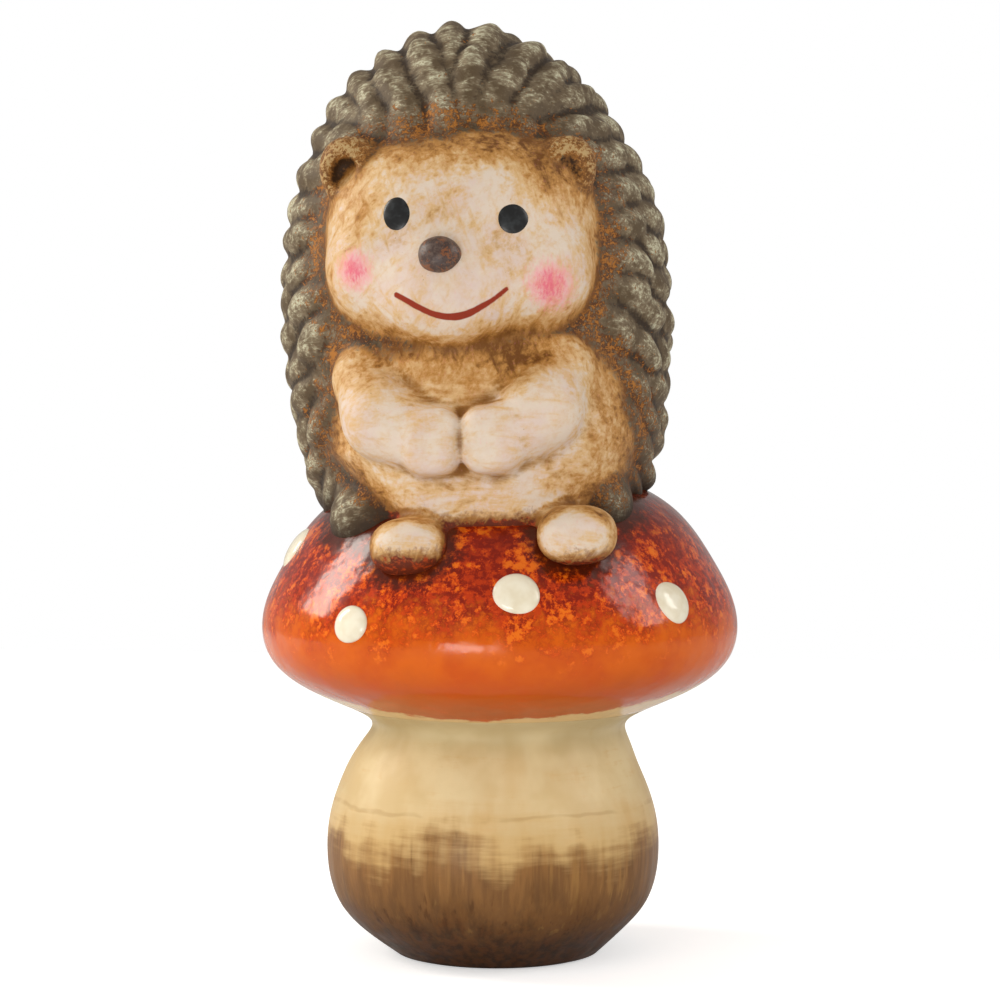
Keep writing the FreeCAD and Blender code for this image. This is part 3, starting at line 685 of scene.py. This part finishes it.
def stain_mask(verts, masks):
    """How much of the brown stain was left on the skin, 0 to about 1."""
    x, y, z = verts.T
    terms = [
        np.exp(-np.maximum(masks["edge"], 0) / np.where(z < 118, 6.5, 5.0)) * 1.15,
        np.exp(-np.maximum(masks["low"], 0) / 4.5) * 0.9,
        soft(z, 143.0, 153.0) * 0.98,
        soft(masks["wide"], 0.1, 1.1) * 0.85,
    ]
    for place, size, strength in STAINS:
        far = ((verts - np.array(place)) ** 2).sum(1)
        terms.append(np.exp(-far / size**2) * strength)
    for foot in FEET:
        far = np.hypot((x - foot[0]) / FOOT_HALVES[0], (z - foot[2]) / FOOT_HALVES[2])
        terms.append(np.where(far < 1.3, soft(far, 0.62, 1.0) * 0.9, 0) * (y < -26))
    return np.maximum.reduce(terms)


def paint_masks(verts, normals, edges):
    """Numbers on each vertex that the paint follows, and the part that each belongs to."""
    p = list(verts.T)
    fields = {name: part[0](p) for name, part in PARTS.items()}
    coat = egg(p)
    for tuft in TUFTS:
        near = np.nonzero(np.all(np.abs(verts - tuft[0]) < tuft_reach(tuft), axis=1))[0]
        coat[near] = np.minimum(coat[near], tuft_field([c[near] for c in p], tuft))
    skin = np.minimum.reduce([fields[n] for n in fields if not n.startswith("ear")])
    ears = np.minimum(fields["ear_right"], fields["ear_left"])
    x, y, z = p
    patch = ((x - BROW_PATCH[0]) / BROW_PATCH_HALVES[0]) ** 2
    patch = np.exp(-(patch + ((z - BROW_PATCH[1]) / BROW_PATCH_HALVES[1]) ** 2))
    edge = np.clip(np.minimum(coat, ears + 0.5) - skin, -12, 12)
    placed = seat(p)
    low = placed[2] - cap_level(np.hypot(placed[0], placed[1]))
    for name, bottom in zip(("foot_right", "foot_left"), FOOT_PAINT_LEVELS):
        low = np.where(fields[name] < 0.6, np.minimum(low, z - bottom), low)
    rough = eased(verts, edges, FINE_ROUNDS)
    broad = eased(rough, edges, BROAD_ROUNDS)
    wide = eased(broad, edges, WIDE_ROUNDS)
    masks = {
        "fine": ((rough - verts) * normals).sum(1),
        "hollow": ((broad - verts) * normals).sum(1),
        "wide": ((wide - verts) * normals).sum(1),
        "edge": edge - np.where(y < -14, BROW_PATCH_DEPTH * patch, 0),
        "ear": np.clip(ears - np.minimum(coat, skin), -6, 6),
        "low": np.clip(low, -2, 12),
        "mouth": mouth_mask(verts),
        "cheek": cheek_mask(verts),
    }
    masks["tan"] = stain_mask(verts, masks)
    labels = ["quill_coat"] + list(PARTS)
    fields["quill_coat"] = coat
    part = np.argmin(np.array([fields[n] for n in labels]), axis=0)
    return masks, labels, part


def mesh_object(name, verts, faces, material, masks=None, normals=None):
    """Piece from points in the row's frame, smooth shaded, riding on the root."""
    mesh = bpy.data.meshes.new(name)
    mesh.from_pydata((verts * MM).tolist(), [], [list(map(int, f)) for f in faces])
    mesh.polygons.foreach_set("use_smooth", [True] * len(mesh.polygons))
    mesh.materials.append(material)
    for key, values in (masks or {}).items():
        layer = mesh.attributes.new(key, "FLOAT", "POINT")
        layer.data.foreach_set("value", values.astype(np.float32))
    if normals is not None:
        mesh.normals_split_custom_set_from_vertices(normals.tolist())
    mesh.update()
    piece = put(name, mesh)
    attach(piece, "root")
    return piece


def shader_color(tone):
    def linear(v):
        v = v / 255
        return v / 12.92 if v <= 0.04045 else ((v + 0.055) / 1.055) ** 2.4

    return (*map(linear, TONES[tone]), 1)


class Paint:
    """Short ways to wire a node material. A colour is a socket or the name of a tone."""

    def __init__(self, name, roughness, specular):
        self.material = bpy.data.materials.new(name)
        self.material.use_nodes = True
        self.nodes = self.material.node_tree.nodes
        self.links = self.material.node_tree.links
        self.shader = self.nodes["Principled BSDF"]
        self.shader.inputs["Roughness"].default_value = roughness
        self.shader.inputs["Specular IOR Level"].default_value = specular
        self.place = self.node("TexCoord").outputs["Object"]

    def set(self, socket, value):
        if isinstance(value, bpy.types.NodeSocket):
            self.links.new(value, socket)
        elif isinstance(value, str):
            socket.default_value = shader_color(value)
        else:
            socket.default_value = value

    def node(self, kind, **inputs):
        node = self.nodes.new("ShaderNode" + kind)
        for name, value in inputs.items():
            self.set(node.inputs[name], value)
        return node

    def noise(self, size_mm, detail=3, rough=0.6, vector=None, stretch=None):
        if stretch is not None:
            vector = self.node("Mapping", Vector=self.place, Scale=stretch).outputs["Vector"]
        node = self.node(
            "TexNoise", Vector=vector or self.place, Scale=1 / (size_mm * MM),
            Detail=detail, Roughness=rough,
        )
        return node.outputs["Fac"]

    def along(self, turn, long):
        """Coordinates drawn out along one turned axis."""
        node = self.node("Mapping", Vector=self.place, Rotation=turn, Scale=(1, 1, long))
        node.vector_type = "TEXTURE"
        return node.outputs["Vector"]

    def fibres(self, size_mm, long=4.5, turns=CROSSED, detail=2):
        """Short brush strokes in several directions, about 0.45 to 0.7."""
        strokes = None
        for turn in turns:
            one = self.noise(size_mm, detail, STROKE_ROUGHNESS, vector=self.along(turn, long))
            strokes = one if strokes is None else self.math("MAXIMUM", strokes, one)
        return strokes

    def mask(self, name):
        node = self.node("Attribute")
        node.attribute_name = name
        return node.outputs["Fac"]

    def axis(self, number):
        """Place along X, Y or Z, in mm."""
        node = self.node("SeparateXYZ", Vector=self.place)
        return self.times(node.outputs[number], PER_METRE)

    def math(self, operation, a, b=0.0):
        node = self.node("Math")
        node.operation = operation
        self.set(node.inputs[0], a)
        self.set(node.inputs[1], b)
        return node.outputs[0]

    def times(self, a, b):
        return self.math("MULTIPLY", a, b)

    def swing(self, value, middle, amount):
        return self.times(self.math("SUBTRACT", value, middle), amount)

    def total(self, *values):
        """Sum; a tuple is a value, its middle, and how much it swings about that."""
        values = [self.swing(*v) if isinstance(v, tuple) else v for v in values]
        result = values[0]
        for value in values[1:]:
            result = self.math("ADD", result, value)
        return result

    def step(self, value, low, high, a=0.0, b=1.0):
        """a below low, b above high, eased in between."""
        node = self.node("MapRange")
        node.interpolation_type = "SMOOTHSTEP"
        for socket, item in zip(node.inputs, (value, low, high, a, b)):
            self.set(socket, item)
        return node.outputs[0]

    def mix(self, share, a, b):
        node = self.node("Mix")
        node.data_type = "RGBA"
        for number, value in zip(MIX_INPUTS, (share, a, b)):
            self.set(node.inputs[number], value)
        return node.outputs[MIX_OUTPUT]

    def over(self, under, color, value, low, high, a=0.0, b=1.0):
        """Colour over another, its share a where value is low and b where it is high."""
        return self.mix(self.step(value, low, high, a, b), under, color)

    def bump(self, height, depth_mm, strength, below=None):
        node = self.node("Bump", Strength=strength, Distance=depth_mm * MM, Height=height)
        if below is not None:
            self.links.new(below, node.inputs["Normal"])
        return node.outputs["Normal"]

    def finish(self, color, normal, roughness=None):
        self.set(self.shader.inputs["Base Color"], color)
        self.set(self.shader.inputs["Normal"], normal)
        if roughness is not None:
            self.set(self.shader.inputs["Roughness"], roughness)
        return self.material


def hedgehog_paint(name, roughness):
    """Coat, skin and the stain between them, all from the masks on the vertices."""
    m = Paint(name, roughness, MATT)
    edge, fine, hollow, low, tan = map(m.mask, ("edge", "fine", "hollow", "low", "tan"))
    strokes, wisps, dry = m.fibres(0.5, 5.0), m.fibres(1.1, 6.0), m.fibres(0.6, 6.0, SWEPT)
    blotch, cloud = m.noise(4.5, 3, 0.6), m.noise(8.0, 3, 0.55)

    # Strokes hang on the upper body and lie level on the belly
    upper = m.step(m.total(m.axis(2), (m.noise(6.0), 0.5, 16.0)), 107.0, 113.0)
    drawn = m.total(
        m.times(m.fibres(1.6, 7.0, HANGING, 4), upper),
        m.times(m.fibres(1.6, 8.0, LEVEL, 4), m.math("SUBTRACT", 1.0, upper)),
    )

    # Coat: taupe with dark creases and pale ridges put on with a dry brush, and darker near the
    # cap, partly as painted shade
    fur = m.over("coat dark", "coat", blotch, 0.35, 0.65)
    height = m.times(m.total(hollow, m.times(fine, 1.5)), -1.0)
    brush = m.total(height, (dry, 0.55, 3.4), (blotch, 0.52, 3.8), (wisps, 0.58, 1.6))
    fur = m.over(fur, "coat brushed", brush, -0.15, 0.5, 0, 0.55)
    fur = m.over(fur, "coat ridge", brush, 0.3, 1.1, 0, 0.82)
    crease = m.total(m.times(fine, 4.0), hollow, (wisps, 0.58, 1.5))
    fur = m.over(fur, "coat crease", crease, -0.05, 0.5, 0, 0.9)
    hairline = m.step(edge, -9.0, -0.6)
    rust = m.total(hairline, (wisps, 0.58, 3.2), (strokes, 0.57, 2.0), (blotch, 0.5, 2.8))
    fur = m.over(fur, "rust", rust, 0.55, 1.15, 0, 0.85)
    ochre = m.total(rust, (strokes, 0.57, 4.0), (drawn, 0.58, 1.5))
    fur = m.over(fur, "ochre", ochre, 1.0, 1.9, 0, 0.8)
    # Dark brown near the cap: partly the coat's brown paint, partly painted shade where the body
    # sits on the cap
    fur = m.over(fur, "coat seat brown and shade", m.total(low, (wisps, 0.58, 5.0)), 0.5, 7.5, 0.92, 0)

    # Skin: pinkish cream, a tan wash drawn out with the brush, dark in the creases
    skin = m.over("skin", "skin pink", cloud, 0.4, 0.62)
    skin = m.over(skin, "skin wash", m.total(drawn, (cloud, 0.5, 0.9)), 0.58, 0.78, 0, 0.22)
    loose = m.total(
        (drawn, 0.58, 1.7), (wisps, 0.58, 0.7), (strokes, 0.57, 0.4),
        (blotch, 0.5, 0.7), (cloud, 0.5, 0.9),
    )
    stain = m.total(tan, m.times(loose, m.step(tan, 0.0, 0.4, 0.26, 1.0)))
    skin = m.over(skin, "stain pale", stain, 0.05, 0.55, 0, 0.75)
    skin = m.over(skin, "stain", stain, 0.42, 0.9, 0, 0.85)
    skin = m.over(skin, "stain dark", stain, 0.76, 1.3, 0, 0.9)
    deep = m.total(m.times(fine, 3.0), hollow, (drawn, 0.58, 1.0), (cloud, 0.5, 1.0))
    skin = m.over(skin, "skin crease", deep, 0.0, 0.7, 0, 0.9)
    specks = m.total(m.noise(0.5, 2, 0.6), (cloud, 0.5, 0.4))
    skin = m.over(skin, "skin speck", specks, 0.75, 0.8, 0, 0.6)

    # Cheeks and mouth
    dabbed = m.noise(0.5, 3, 0.7, stretch=(1, 1, 0.4))
    rouge = m.total(m.mask("cheek"), (dabbed, 0.5, 1.3))
    skin = m.over(skin, "rouge pale", rouge, 0.05, 0.75, 0, 0.55)
    skin = m.over(skin, "rouge", rouge, 0.6, 1.15, 0, 0.75)
    line = m.total(m.mask("mouth"), (blotch, 0.5, 0.5))
    skin = m.over(skin, "mouth", line, -0.2, 0.02, 1, 0)

    # Red and brown glaze that ran up from the cap
    run = m.total(low, (wisps, 0.58, 7.0), (blotch, 0.5, 4.0))
    skin = m.over(skin, "run brown", run, 2.4, 4.4, 0.8, 0)
    glaze = m.over("run dark", "run red", m.noise(1.4, 4, 0.7), 0.5, 0.62)
    skin = m.over(skin, glaze, run, 1.0, 2.8, 0.95, 0)

    # Ears: brown cups with a paler rim
    tint = m.total((strokes, 0.57, 5.0), (wisps, 0.58, 3.0), (blotch, 0.5, 2.0))
    bowl = m.over("ear", "ear tan", tint, -0.5, 0.35)
    bowl = m.over(bowl, "ear rim", m.total(tint, height), 0.3, 1.1, 0, 0.75)
    bowl = m.over(bowl, "ear hollow", m.total(crease, (wisps, 0.58, 2.0)), 0.0, 0.8, 0, 0.95)

    border = m.total(edge, (drawn, 0.58, 5.0), (wisps, 0.58, 4.0), (strokes, 0.57, 2.0))
    color = m.over(fur, skin, border, -0.8, 0.8)
    ear = m.total(m.mask("ear"), (strokes, 0.57, 3.0))
    color = m.over(color, bowl, ear, -0.6, 0.6, 1, 0)
    grain = m.total(m.times(wisps, 1.2), m.times(m.noise(1.3, 4, 0.7), 0.8))
    worn = m.step(blotch, 0.3, 0.7, roughness - 0.06, roughness + 0.08)
    return m.finish(color, m.bump(grain, 0.2, 0.6), worn)


def cap_glaze():
    """Orange glaze with red sponged over it from the top, and a plain underside; painted shade
    darkens the orange under the rim, and a painted shadow rings the hedgehog's seat.
    """
    m = Paint("cap_glaze", 0.16, GLAZE)
    x, z = m.axis(0), m.axis(2)
    patch, dabs = m.noise(8, 3, 0.6), m.noise(3.6, 4, 0.68)
    sponge, speck = m.noise(1.6, 5, 0.75), m.noise(0.8, 3, 0.7)
    orange = m.over("orange", "orange deep", patch, 0.35, 0.7)
    # Painted shade: the orange darkens on the cap's underside below the rim, which faces down
    orange = m.over(orange, "orange under shade", m.total(z, (patch, 0.5, 8.0)), 48.0, 60.0, 1, 0)
    dabbed = m.total(dabs, (patch, 0.5, 0.5))
    orange = m.over(orange, "orange dab", dabbed, 0.56, 0.68, 0, 0.4)
    red = m.over("red dark", "red", sponge, 0.45, 0.56)
    flecks = m.total(sponge, (dabs, 0.5, 1.1))
    red = m.over(red, "fleck", flecks, 0.52, 0.6, 0, 0.92)
    red = m.over(red, "fleck bright", flecks, 0.61, 0.68, 0, 0.88)
    level = m.total(z, (patch, 0.5, 16.0), (dabs, 0.5, 26.0), (sponge, 0.5, 26.0))
    color = m.over(orange, red, level, 61.0, 70.0)
    dark = m.total(z, (sponge, 0.5, 14.0), (patch, 0.5, 10.0), (dabs, 0.5, -20.0))
    color = m.over(color, "crown", dark, 75.0, 87.0, 0, 0.72)
    # Painted shadow: dark brown round the hedgehog's body and feet, where they shade the cap
    near = m.total(m.mask("near"), (sponge, 0.5, 8.0), (dabs, 0.5, 6.0))
    color = m.over(color, "cap seat shadow", near, 0.6, 4.4, 0.9, 0)
    color = m.over(color, "cap speck", speck, 0.7, 0.76, 0, 0.3)
    rise = m.times(m.times(x, x), -SEAM_RISE)
    seam = m.total(z, rise, (patch, 0.5, 2.6), (dabs, 0.5, 1.6))
    color = m.over(color, "cap underside", seam, 47.7, 48.3, 1, 0)
    swell = m.bump(m.noise(7, 2, 0.5), 0.6, 0.6)
    shine = m.step(m.noise(5, 3, 0.6), 0.3, 0.8, 0.1, 0.24)
    return m.finish(color, m.bump(speck, 0.1, 0.25, swell), shine)


def spot_glaze():
    m = Paint("spot_glaze", 0.14, GLOSS)
    color = m.over("spot", "spot shade", m.noise(3, 2, 0.5), 0.35, 0.7)
    return m.finish(color, m.bump(m.noise(2.5, 2, 0.5), 0.15, 0.4))


def stalk_paint():
    """Cream above with a painted shadow under the cap, brown brushed over the foot in upright
    strokes.
    """
    m = Paint("stalk_paint", 0.4, SATIN)
    z = m.axis(2)
    streaks = m.noise(4.0, 3, 0.6, stretch=(1, 1, 0.09))
    thin = m.noise(1.7, 4, 0.65, stretch=(1, 1, 0.08))
    gouge = m.noise(1.8, 3, 0.55, stretch=(1, 1, 0.06))
    cross = m.noise(2.2, 4, 0.65, stretch=(0.1, 0.1, 1))
    drift = m.noise(9, 2, 0.5, stretch=(1, 1, 0.25))
    patch = m.noise(13, 3, 0.55)
    cream = m.over("stalk", "stalk deep", patch, 0.35, 0.65)
    cream = m.over(cream, "stalk tan", drift, 0.5, 0.75, 0, 0.45)
    brushed = m.total(cross, (thin, 0.5, 0.4))
    cream = m.over(cream, "stalk brushed", brushed, 0.58, 0.75, 0, 0.35)
    wash = m.over("stalk wash", "stalk brown", thin, 0.36, 0.68)
    wash = m.over(wash, "stalk streak", streaks, 0.42, 0.66, 0, 0.6)
    level = m.total(z, (streaks, 0.5, 9.0), (cross, 0.5, 10.0), (patch, 0.5, 16.0))
    color = m.over(cream, "stalk tan", level, 22.0, 33.0, 0.75, 0)
    color = m.over(color, wash, level, 19.5, 27.5, 0.95, 0)
    under = m.step(level, 18.0, 27.0, 1, 0)
    color = m.mix(m.times(m.step(gouge, 0.58, 0.7, 0, 0.65), under), color, "gouge dark")
    color = m.mix(m.times(m.step(gouge, 0.3, 0.42, 0.5, 0), under), color, "gouge pale")
    low = m.total(z, (streaks, 0.5, 18.0), (thin, 0.5, 6.0), (patch, 0.5, 8.0))
    base = m.over("foot brown", "foot dark", thin, 0.4, 0.62)
    color = m.over(color, base, low, 3.0, 20.0, 0.95, 0)
    ring = m.total(z, m.times(cross, 1.6), (drift, 0.5, 2.0), -RING_LEVEL)
    ring = m.step(m.math("ABSOLUTE", ring), 0.1, 0.5, 0.3, 0)
    color = m.mix(m.times(ring, m.step(patch, 0.4, 0.55)), color, "ring")
    # Painted shadow: the cream turns grey olive just under the cap, where the cap shades the
    # stalk
    under_cap_shadow = m.total(z, (patch, 0.5, 6.0), (drift, 0.5, 5.0))
    color = m.over(color, "under_cap_shadow", under_cap_shadow, 38.5, 46.5, 0, 0.5)
    grain = m.total(thin, m.times(cross, 0.6))
    return m.finish(color, m.bump(grain, 0.14, 0.4), m.step(streaks, 0.3, 0.7, 0.32, 0.48))


def eye_gloss():
    m = Paint("eye_gloss", 0.34, GLOSS)
    # Painted sheen: grey-blue patches on the black stand in for the soft glint in the eye
    color = m.over("eye", "eye worn", m.noise(2.2, 3, 0.6), 0.45, 0.7, 0, 0.7)
    return m.finish(color, m.bump(m.noise(1.0, 2, 0.5), 0.1, 0.3))


def nose_paint():
    m = Paint("nose_paint", 0.4, GLOSS)
    rust = m.step(m.total(m.noise(2.6, 3, 0.6), (m.fibres(0.5), 0.57, 1.0)), 0.52, 0.64)
    color = m.over("nose", "nose worn", m.noise(1.2, 4, 0.7), 0.4, 0.65, 0, 0.7)
    color = m.mix(m.times(rust, 0.75), color, "nose rust")
    return m.finish(color, m.bump(m.noise(0.9, 4, 0.7), 0.2, 0.6))


def smooth_outline(points):
    """Natural cubic spline through the points, by distance along them."""
    knots = np.array(points, float)
    t = np.concatenate([[0], np.cumsum(np.linalg.norm(np.diff(knots, axis=0), axis=1))])
    n = len(t)
    h = np.diff(t)
    a, b = np.eye(n), np.zeros((n, 2))
    for i in range(1, n - 1):
        a[i, i - 1 : i + 2] = h[i - 1], 2 * (h[i - 1] + h[i]), h[i]
        b[i] = 6 * ((knots[i + 1] - knots[i]) / h[i] - (knots[i] - knots[i - 1]) / h[i - 1])
    bend = np.linalg.solve(a, b)
    line = []
    for i in range(n - 1):
        for q in np.linspace(0, 1, OUTLINE_STEPS, endpoint=False):
            p = 1 - q
            curve = (p**3 - p) * bend[i] + (q**3 - q) * bend[i + 1]
            line.append(p * knots[i] + q * knots[i + 1] + h[i] ** 2 / 6 * curve)
    return np.array(line + [knots[-1]])


def quads(rings, turns):
    """Faces between rings of points, each ring to the next."""
    low = np.arange((rings - 1) * turns).reshape(-1, turns)
    after = np.roll(low, -1, 1)
    return np.stack([low, low + turns, after + turns, after], 2).reshape(-1, 4)


def turned(profile, turns):
    """Surface of revolution, with slow waves that die out at its axis and at the joint."""
    radius, level = np.array(profile).T[:, :, None]
    angles = np.arange(turns) * 2 * math.pi / turns
    wave = 0.6 * np.sin(2 * angles + 0.7 + level * 0.02)
    wave = wave + 0.4 * np.sin(3 * angles + 2.1 - level * 0.05)
    fade = np.minimum(1, radius / WAVE_RADIUS)
    fade = fade * np.minimum(1, np.abs(level - JOINT_LEVEL) / WAVE_RISE)
    r = radius * (1 + UNEVEN * wave * fade)
    verts = np.stack([r * np.cos(angles), r * np.sin(angles), level + 0 * r], 2)
    return verts.reshape(-1, 3), quads(len(profile), turns)[:, [0, 3, 2, 1]]


def make_stalk():
    """Hollow stalk: down its inside, round the pour hole's rim and the foot, and up."""
    outer = smooth_outline(STALK_OUTLINE)
    roof = JOINT_LEVEL - WALL
    inner = [(r - WALL, z) for r, z in outer if WALL < z < roof][::-1]
    hole = [
        (POUR_HOLE_RADIUS, WALL), (POUR_HOLE_RADIUS, POUR_HOLE_EASE),
        (POUR_HOLE_RADIUS + POUR_HOLE_EASE, 0.0),
    ]
    wall = [tuple(p) for p in outer if p[1] > FOOT_EDGE_TOP]
    wall.insert(-1, (JOINT_RADIUS - JOINT_CHAMFER, JOINT_LEVEL - JOINT_CHAMFER))
    top = [(JOINT_RADIUS - JOINT_INSET, JOINT_LEVEL), (AXIS_RADIUS, JOINT_LEVEL)]
    profile = [(AXIS_RADIUS, roof)] + inner + hole + FOOT_EDGE + wall + top
    verts, faces = turned(profile, STALK_TURNS)
    away, near = SHIFT_REACH
    verts[:, 0] -= STALK_SHIFT * soft(-np.abs(verts[:, 2] - SHIFT_LEVEL), -away, -near)
    piece = mesh_object("mushroom_stalk_cast", verts, faces, stalk_paint())
    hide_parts("mushroom_stalk")


def make_cap():
    outer = smooth_outline(CAP_OUTLINE)
    profile = CAP_JOINT + [tuple(p) for p in outer[1:-1]] + [(AXIS_RADIUS, CAP_TOP)]
    verts, faces = turned(profile, CAP_TURNS)
    verts = verts * [CAP_SHRINK, CAP_SHRINK, 1]
    upright = unseat(verts.T)
    # Distance to the hedgehog, which places the painted shadow round its seat
    near = np.minimum.reduce([egg(upright), foot_field(upright, 0), foot_field(upright, 1)])
    masks = {"near": np.clip(near, -2, 20)}
    piece = mesh_object("mushroom_cap_cast", verts, faces, cap_glaze(), masks)
    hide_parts("mushroom_cap")


def spot_frame(outer, turn, rise):
    """A spot's centre on the cap, and its side, up and out ways."""
    level = RIM_LEVEL + (CAP_TOP - RIM_LEVEL) * rise
    i = int(np.argmin(np.abs(outer[:, 1] - level)))
    along = outer[i + 1] - outer[i - 1]
    along /= np.linalg.norm(along)
    a = math.radians(turn - 90)
    away = np.array([math.cos(a), math.sin(a), 0])
    side = np.array([-math.sin(a), math.cos(a), 0])
    up = away * along[0] + np.array([0, 0, along[1]])
    centre = away * outer[i, 0] * SPOT_BED + np.array([0, 0, outer[i, 1]])
    return centre, side, up, np.cross(side, up)


def make_spots():
    """Low glossy domes square to the cap, each a little out of round."""
    outer = smooth_outline(CAP_OUTLINE)
    outer = outer[outer[:, 1] >= RIM_LEVEL]
    t = (2 * math.pi * np.arange(SPOT_POINTS) / SPOT_POINTS)[:, None]
    lift = math.pi / 2 * (1 - np.arange(1, SPOT_RINGS + 1) / SPOT_RINGS * SPOT_WRAP)
    lift = lift[:, None, None]
    height = SPOT_HEIGHT * np.where(lift > 0, np.sin(lift), lift * 1.2)
    verts, faces = [], []
    for number, (turn, rise) in enumerate(zip(SPOT_TURNS, SPOT_RISES)):
        centre, side, up, normal = spot_frame(outer, turn, rise)
        wave = SPOT_WAVES[0] * np.sin(2 * t + number) + SPOT_WAVES[1] * np.sin(3 * t + 2 * number)
        size = SPOT_RADIUS * SPOT_SIZES[number] * (1 + wave)
        flat = size * np.cos(np.maximum(lift, -0.2)) ** 0.8
        x, y = flat * np.cos(t), flat * np.sin(t)
        sag = x**2 / SPOT_SAG[0] + y**2 / SPOT_SAG[1]
        dome = centre + side * x + up * y + normal * (height - sag)
        start = number * (1 + SPOT_RINGS * SPOT_POINTS)
        verts += [centre + normal * SPOT_HEIGHT, *dome.reshape(-1, 3)]
        for j in range(SPOT_POINTS):
            faces.append((start, start + 1 + j, start + 1 + (j + 1) % SPOT_POINTS))
        faces += list(quads(SPOT_RINGS, SPOT_POINTS) + start + 1)
    piece = mesh_object("cap_spot_glazing", np.array(verts), faces, spot_glaze())
    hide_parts("cap_spots")


def make_hedgehog():
    """One sculpt, cut into its pieces; they share normals, so no cut shows."""
    axes, field = sculpt()
    verts, faces = surface_net(axes, field)
    edges = edges_of(faces)
    verts = eased(verts, edges, 1)
    normals = normals_of(verts, faces)
    masks, labels, part = paint_masks(verts, normals, edges)
    placed = np.stack(seat(verts.T), 1)
    c, s = math.cos(LEAN), math.sin(LEAN)
    leaning = normals @ np.array([[c, 0, -s], [0, 1, 0], [s, 0, c]]).T
    face_part = part[faces[:, 0]]
    finishes = {
        "coat": hedgehog_paint("coat_paint", 0.62),
        "skin": hedgehog_paint("skin_paint", 0.55),
        "ear": hedgehog_paint("ear_paint", 0.6),
    }
    rows = [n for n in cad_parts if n.startswith("quill_row")]
    for number, label in enumerate(labels):
        used, small = np.unique(faces[face_part == number], return_inverse=True)
        kind = "coat" if label == "quill_coat" else "ear" if label.startswith("ear") else "skin"
        piece = mesh_object(
            label + "_sculpt", placed[used], small.reshape(-1, 4), finishes[kind],
            {k: v[used] for k, v in masks.items()}, leaning[used],
        )
        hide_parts(*([label] + rows if kind == "coat" else [label]))


def face_point(x, z):
    """Point of the face at a sideways place and a level."""
    low, high = -46.0, -24.0
    for _ in range(40):
        middle = (low + high) / 2
        if head_field([np.array([v]) for v in (x, middle, z)])[0] > 0:
            low = middle
        else:
            high = middle
    return np.array([x, low, z])


def face_out(x, z):
    step = 0.8
    right = face_point(x + step, z) - face_point(x - step, z)
    up = face_point(x, z + step) - face_point(x, z - step)
    out = np.cross(right, up)
    return out / np.linalg.norm(out)


def bead(name, x, z, halves, node, material, slot, sink, lumps):
    """Rounded bead pressed on the face: halves are its half width, depth and height."""
    place, out = face_point(x, z), face_out(x, z)
    side = np.cross([0, 0, 1.0], out)
    side /= np.linalg.norm(side)
    up = np.cross(out, side)
    if up[2] < 0:
        up, side = -up, -side
    t = (2 * math.pi * np.arange(BEAD_POINTS) / BEAD_POINTS)[:, None]
    lift = np.linspace(0, math.pi, BEAD_RINGS)[:, None, None]
    wave = 0.5 * np.sin(3 * t + 1.0) + np.sin(2 * t + 2.2) + 0.6 * np.sin(5 * t + lift)
    ring = np.sin(lift) * (1 + lumps * wave)
    verts = place + out * (np.cos(lift) * halves[1] - sink)
    verts = verts + side * (ring * halves[0] * np.cos(t)) + up * (ring * halves[2] * np.sin(t))
    placed = np.stack(seat(verts.reshape(-1, 3).T), 1)
    piece = mesh_object(name, placed, quads(BEAD_RINGS, BEAD_POINTS), material)
    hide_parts(node)


def make_face():
    black = eye_gloss()
    for side, (place, halves) in zip(("right", "left"), zip(EYES_AT, EYE_HALVES)):
        eye = "eye_" + side
        bead(eye + "_bead", *place, halves, eye, black, "eye_gloss", EYE_SINK, EYE_LUMPS)
    brown = nose_paint()
    bead("nose_bead", *NOSE_AT, NOSE_HALVES, "nose", brown, "nose_paint", NOSE_SINK, NOSE_LUMPS)


def make_floor():
    """Pale floor that looks white to the camera but keeps the shadow."""
    mesh = bpy.data.meshes.new("floor")
    x, y = FLOOR_HALVES
    mesh.from_pydata([(-x, -y, 0), (x, -y, 0), (x, y, 0), (-x, y, 0)], [], [(0, 1, 2, 3)])
    m = Paint("floor", FLOOR_ROUGHNESS, GLOSS)
    seen = m.node("LightPath").outputs["Is Camera Ray"]
    m.set(m.shader.inputs["Base Color"], FLOOR_COLOR)
    m.set(m.shader.inputs["Emission Color"], WHITE)
    m.set(m.shader.inputs["Emission Strength"], m.times(seen, FLOOR_GLOW))
    mesh.materials.append(m.material)
    floor = put("floor", mesh)


def make_world():
    """Soft light all round, and plain white behind the object."""
    world = bpy.data.worlds.new("studio")
    bpy.context.scene.world = world
    world.use_nodes = True
    nodes, links = world.node_tree.nodes, world.node_tree.links
    ambient = nodes["Background"]
    ambient.inputs["Color"].default_value = AMBIENT_COLOR
    ambient.inputs["Strength"].default_value = AMBIENT
    seen = nodes.new("ShaderNodeBackground")
    seen.inputs["Color"].default_value = WHITE
    seen.inputs["Strength"].default_value = 1.0
    path = nodes.new("ShaderNodeLightPath")
    mix = nodes.new("ShaderNodeMixShader")
    links.new(path.outputs["Is Camera Ray"], mix.inputs[0])
    links.new(ambient.outputs[0], mix.inputs[1])
    links.new(seen.outputs[0], mix.inputs[2])
    links.new(mix.outputs[0], nodes["World Output"].inputs["Surface"])


def make_lamp(name, place, aim, size, power, color, mirrored):
    data = bpy.data.lights.new(name, "AREA")
    data.shape = "RECTANGLE"
    data.size, data.size_y = size
    data.energy = power
    data.color = color
    put(name, data, place, aim).visible_glossy = mirrored


make_stalk()
make_cap()
make_spots()
make_hedgehog()
make_face()
make_floor()
make_world()
for lamp in LAMPS:
    make_lamp(*lamp)
